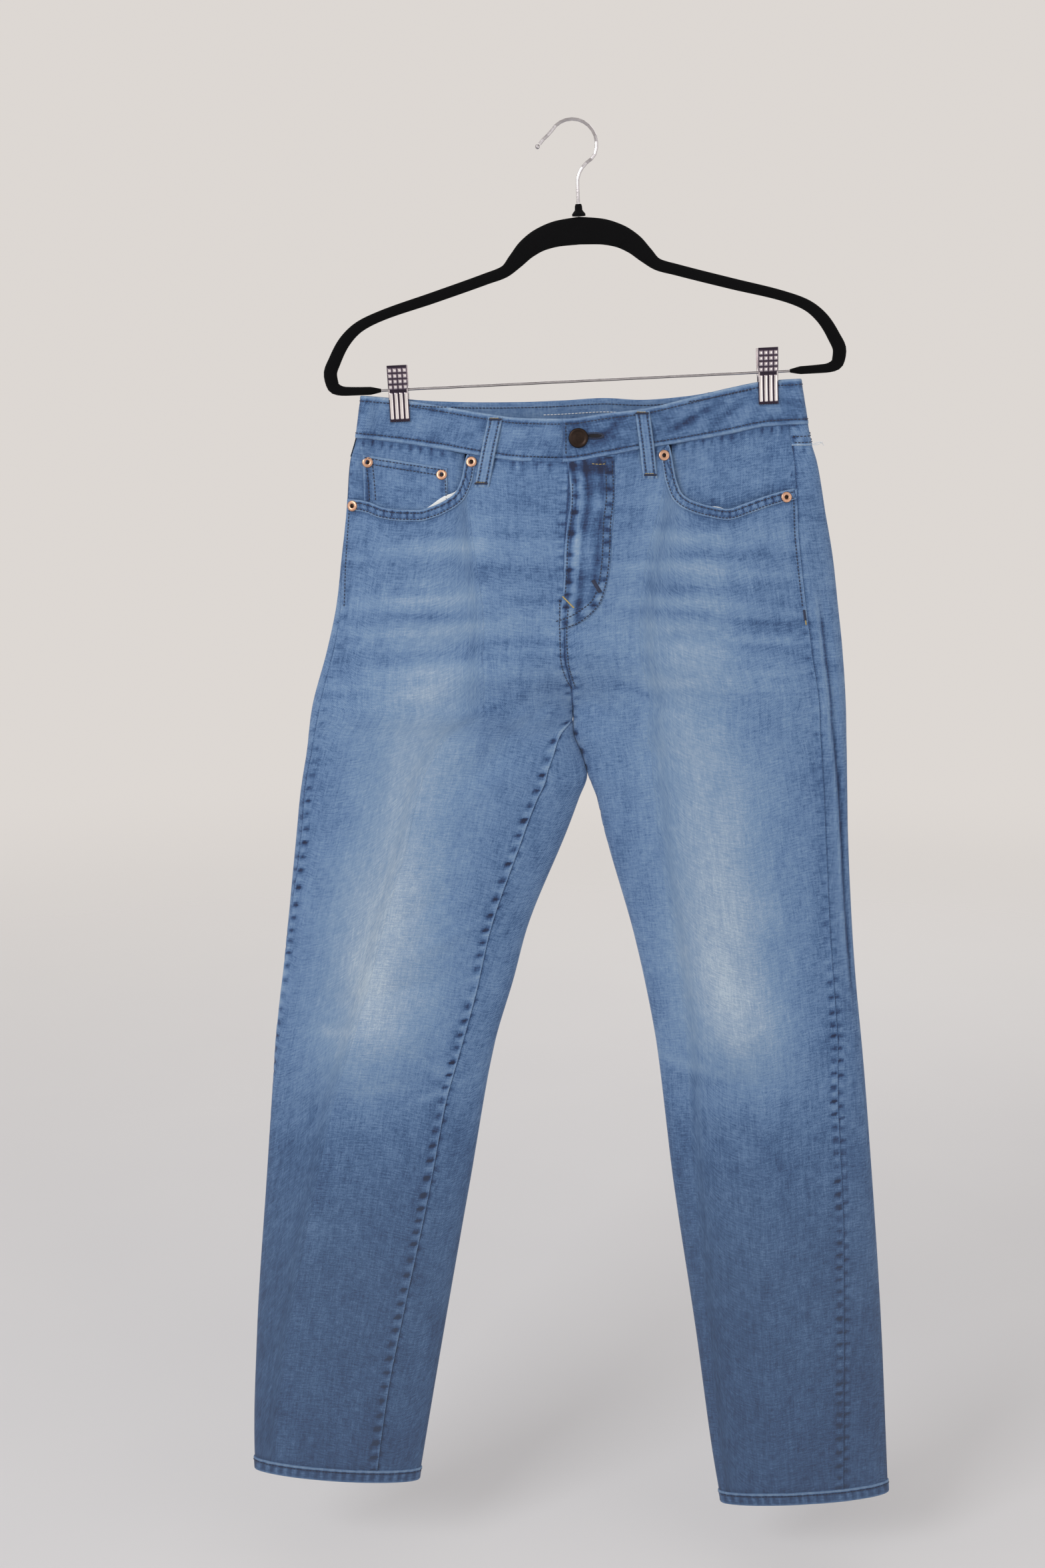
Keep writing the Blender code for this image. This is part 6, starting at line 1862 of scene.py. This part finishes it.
def denim_look():
    """Return washed stretch denim: slubby warp, fine twill, and the worn paleness and painted shade that the
    cloth itself carries.
    """
    look = Look("washed_denim", roughness=0.86, sheen_weight=0.12, sheen_roughness=0.5)
    weave = look.attribute("weave", "Vector")
    pale = look.attribute("pale")
    slub = look.noise(weave, 820, 2.0, 0.6, (1.0, 0.12, 1.0))
    streak = look.noise(weave, 330, 2.0, 0.55, (1.0, 0.07, 1.0))
    weft = look.noise(weave, 760, 1.0, 0.5, (0.14, 1.0, 1.0))
    speck = look.noise(weave, 620, 3.0, 0.7)
    blotch = look.noise(weave, 42, 3.0, 0.6)
    lines = {"Vector": weave, "Scale": 430.0, "Distortion": 1.6, "Detail": 1.0, "Detail Scale": 2.0}
    diagonal = {"wave_type": "BANDS", "bands_direction": "DIAGONAL"}
    twill = look.node("ShaderNodeTexWave", diagonal, lines, "Fac")
    grain = (slub - 0.5) * 0.34 + (streak - 0.5) * 0.24 + (weft - 0.5) * 0.36 + (speck - 0.5) * 0.48
    tone = pale + grain * 0.85 + (twill - 0.5) * 0.10 + (blotch - 0.5) * 0.10
    colour = look.ramp(tone, INDIGO)
    place = look.node("ShaderNodeNewGeometry", output="Position")
    height = look.node("ShaderNodeSeparateXYZ", {}, {"Vector": place}, "Z")
    low = look.step(height, -0.78, -1.05, 0.0, 0.34)
    greyed = look.mix(low, colour, rgb(73, 90, 113))
    inside = look.node("ShaderNodeNewGeometry", output="Backfacing")
    reverse = look.mix(inside * 0.45, greyed, rgb(150, 164, 184))
    yarn = look.bump(slub * 0.5 + weft * 0.4 + speck * 0.5 + twill * 0.6, 0.55, 0.00035)
    return look.set(base_color=reverse, normal=yarn, roughness=0.80 + speck * 0.12)


def plain_cloth(name, colours, scale):
    """Return a plain woven cotton in two close colours."""
    look = Look(name, roughness=0.9, sheen_weight=0.1)
    place = look.node("ShaderNodeTexCoord", output="Object")
    across = look.noise(place, scale, 2.0, 0.6, (1.0, 1.0, 0.15))
    down = look.noise(place, scale, 2.0, 0.6, (0.15, 0.15, 1.0))
    colour = look.mix(across * 0.5 + down * 0.5, colours[0], colours[1])
    return look.set(base_color=colour, normal=look.bump(across + down, 0.4, 0.0003))


def thread_look(name, colours):
    """Return twisted sewing thread, rubbed paler here and there."""
    look = Look(name, roughness=0.62, sheen_weight=0.2)
    place = look.node("ShaderNodeTexCoord", output="Object")
    rubbed = look.noise(place, 160, 2.0, 0.6)
    twist = look.noise(place, 2200, 1.0, 0.5)
    colour = look.mix(rubbed * 0.75 + twist * 0.25, colours[0], colours[1])
    return look.set(base_color=colour, normal=look.bump(twist, 0.5, 0.0002))


def metal_look(name, colours, dullness):
    """Return plated metal with handling marks."""
    look = Look(name, metallic=1.0, roughness=dullness)
    place = look.node("ShaderNodeTexCoord", output="Object")
    marks = look.noise(place, 220, 4.0, 0.65)
    fine = look.noise(place, 1320, 2.0, 0.5)
    colour = look.mix(marks, colours[0], colours[1])
    return look.set(base_color=colour, roughness=dullness + (marks - 0.5) * 0.16 + (fine - 0.5) * 0.08,
                    normal=look.bump(fine, 0.15, 0.0001))


# Colours of the clips' pressed pattern, painted light from shade in its hollows to highlights on its points
PRESSED_PAINTED_LIGHT = [
    (0.00, rgb(58, 50, 62)),
    (0.22, rgb(96, 84, 98)),
    (0.42, rgb(186, 176, 182)),
    (0.60, rgb(246, 240, 240)),
]


def pressed_look():
    """Return bright plated steel, dull in the hollows of its pressed pattern, where painted shade and
    reflections darken it, with painted highlights on its points.
    """
    look = Look("pressed_steel", metallic=1.0, roughness=0.2)
    place = look.node("ShaderNodeTexCoord", output="Object")
    relief = look.attribute("relief")
    marks = look.noise(place, 420, 3.0, 0.6)
    # The colours are painted light: shade and dark reflections in the hollows, highlights on the points
    colour = look.ramp(relief + (marks - 0.5) * 0.12, PRESSED_PAINTED_LIGHT)
    return look.set(base_color=colour, roughness=0.34 - relief * 0.2 + (marks - 0.5) * 0.1)


def flock_look():
    """Return short black flocking, with its pile catching the light."""
    look = Look("black_flocking", roughness=1.0, sheen_weight=0.02, sheen_roughness=0.5)
    look.shader.inputs["Specular IOR Level"].default_value = 0.12
    place = look.node("ShaderNodeTexCoord", output="Object")
    pile = look.noise(place, 2600, 3.0, 0.7)
    rubbed = look.noise(place, 60, 3.0, 0.6)
    colour = look.mix(pile * 0.6 + rubbed * 0.4, rgb(3, 3, 4), rgb(15, 15, 17))
    return look.set(base_color=colour, normal=look.bump(pile, 0.8, 0.0005))


def floor_look():
    """Return the pale matt floor, which thins away into the backdrop far out."""
    look = Look("pale_floor", roughness=0.9)
    place = look.node("ShaderNodeTexCoord", output="Object")
    grain = look.noise(place, 3.0, 2.0, 0.5)
    colour = look.mix(grain, rgb(206, 207, 211), rgb(211, 212, 215))
    away = look.node("ShaderNodeVectorMath", {"operation": "LENGTH"}, {0: place}, "Value")
    gone = look.step(away, 0.5, 3.9, 1.0, 0.0)
    return look.set(base_color=colour, alpha=gone)


def add_stage():
    """Add the floor, the soft lights, the pale world and the camera at the photograph's angle."""
    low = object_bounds()[0][2]
    bpy.ops.mesh.primitive_plane_add(size=8.0, location=(0, 0, low - FLOOR_DROP))
    floor = bpy.context.object
    floor.name = "floor"
    floor.data.materials.append(floor_look())
    world = bpy.data.worlds.new("pale_room")
    world.use_nodes = True
    world.node_tree.nodes["Background"].inputs["Color"].default_value = rgb(248, 242, 237)
    world.node_tree.nodes["Background"].inputs["Strength"].default_value = 0.77
    bpy.context.scene.world = world
    lights = [
        ("key_light", (-1.7, -2.1, 0.8), 1.2, 36.0),
        ("fill_light", (1.7, -1.9, -0.3), 2.0, 8.0),
        ("back_light", (0.6, 2.4, 0.4), 2.0, 12.0),
    ]
    for name, place, size, power in lights:
        data = bpy.data.lights.new(name, "AREA")
        data.shape = "SQUARE"
        data.size = size
        data.energy = power
        item = new_object(name, data)
        item.location = place
        towards = Vector(LIT_MIDDLE) - Vector(place)
        item.rotation_euler = towards.to_track_quat("-Z", "Y").to_euler()
    data = bpy.data.cameras.new("camera")
    data.lens = CAMERA_LENS
    data.sensor_width = CAMERA_SENSOR
    camera = new_object("camera", data)
    camera.location = CAMERA_AT
    camera.rotation_euler = (CAMERA_PITCH, 0, 0)
    bpy.context.scene.camera = camera
    bpy.context.scene.view_settings.view_transform = "Standard"


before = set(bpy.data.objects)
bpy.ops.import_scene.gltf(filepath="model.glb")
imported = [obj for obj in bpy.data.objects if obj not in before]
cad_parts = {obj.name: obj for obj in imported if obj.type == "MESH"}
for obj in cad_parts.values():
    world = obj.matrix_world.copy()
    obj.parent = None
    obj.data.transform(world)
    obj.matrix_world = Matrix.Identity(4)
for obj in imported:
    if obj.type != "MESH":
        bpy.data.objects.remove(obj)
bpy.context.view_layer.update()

denim = denim_look()
pocketing = plain_cloth("pocket_cotton", (rgb(206, 214, 218), rgb(236, 238, 238)), 900)
navy_thread = thread_look("navy_thread", (rgb(14, 20, 42), rgb(40, 52, 84)))
gold_thread = thread_look("straw_thread", (rgb(162, 136, 68), rgb(204, 182, 112)))
white_thread = thread_look("white_thread", (rgb(196, 204, 212), rgb(232, 234, 236)))
copper = metal_look("worn_copper", (rgb(186, 132, 104), rgb(222, 186, 160)), 0.38)
bronze = metal_look("dark_button", (rgb(36, 30, 28), rgb(66, 54, 48)), 0.42)
chrome = metal_look("bright_chrome", (rgb(150, 146, 150), rgb(214, 210, 212)), 0.16)
pressed = pressed_look()
brass = metal_look("zip_brass", (rgb(150, 122, 70), rgb(190, 162, 104)), 0.4)
flock = flock_look()
# Dark cloth of painted shade for the buttonhole's opening
hole_shade = plain_cloth("buttonhole_dark", (rgb(12, 12, 16), rgb(26, 26, 34)), 900)

for side in SIDES:
    add_front_leg(side, denim)
    add_back_leg(side, denim)
    add_hem(side, denim)
    add_pocket_edge(side, denim)
    add_pocket_facing(side, denim)
    add_pocket_bag(side, pocketing)
    add_back_pocket(side, denim)
add_coin_pocket(denim)
add_fly(denim)
add_waistband(denim)
for loop in LOOPS:
    add_belt_loop(loop, denim)

navy = Sewing("navy_stitches_front", navy_thread)
navy_back = Sewing("navy_stitches_back", navy_thread)
gold = Sewing("straw_bartacks", gold_thread, 0.3)
white = Sewing("white_stitches_inside", white_thread, 0.4)
sew_waistband(navy, white)
sew_pockets(navy)
sew_fly(navy, gold)
sew_loops(navy_back, gold)
sew_back(navy_back)
sew_side_end(navy_back, gold)
loosen_ends(white)
sew_hems(navy_back)
sew_buttonhole(navy)
for sewing in (navy, navy_back, gold, white):
    sewing.finish()

for rivet in RIVETS:
    add_rivet(rivet, copper, bronze)
add_button(bronze, hole_shade)
add_hanger_body(flock)
for side in SIDES:
    add_jaw("clip_front_" + side, side, FRONT, CLIP_HALF_WIDTH - 0.7, pressed)
    add_jaw("clip_back_" + side, side, BACK, CLIP_HALF_WIDTH - 2.2, pressed)
SHOWN_SOLIDS = {
    "hanger_hook": chrome,
    "hook_tip": chrome,
    "hanger_bar": chrome,
    "clip_spring_right": chrome,
    "clip_spring_left": chrome,
    "zip": brass,
    "zip_slider": brass,
    "hanger_collar": flock,
}
for node, look in SHOWN_SOLIDS.items():
    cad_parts[node].data.materials.clear()
    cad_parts[node].data.materials.append(look)

add_stage()
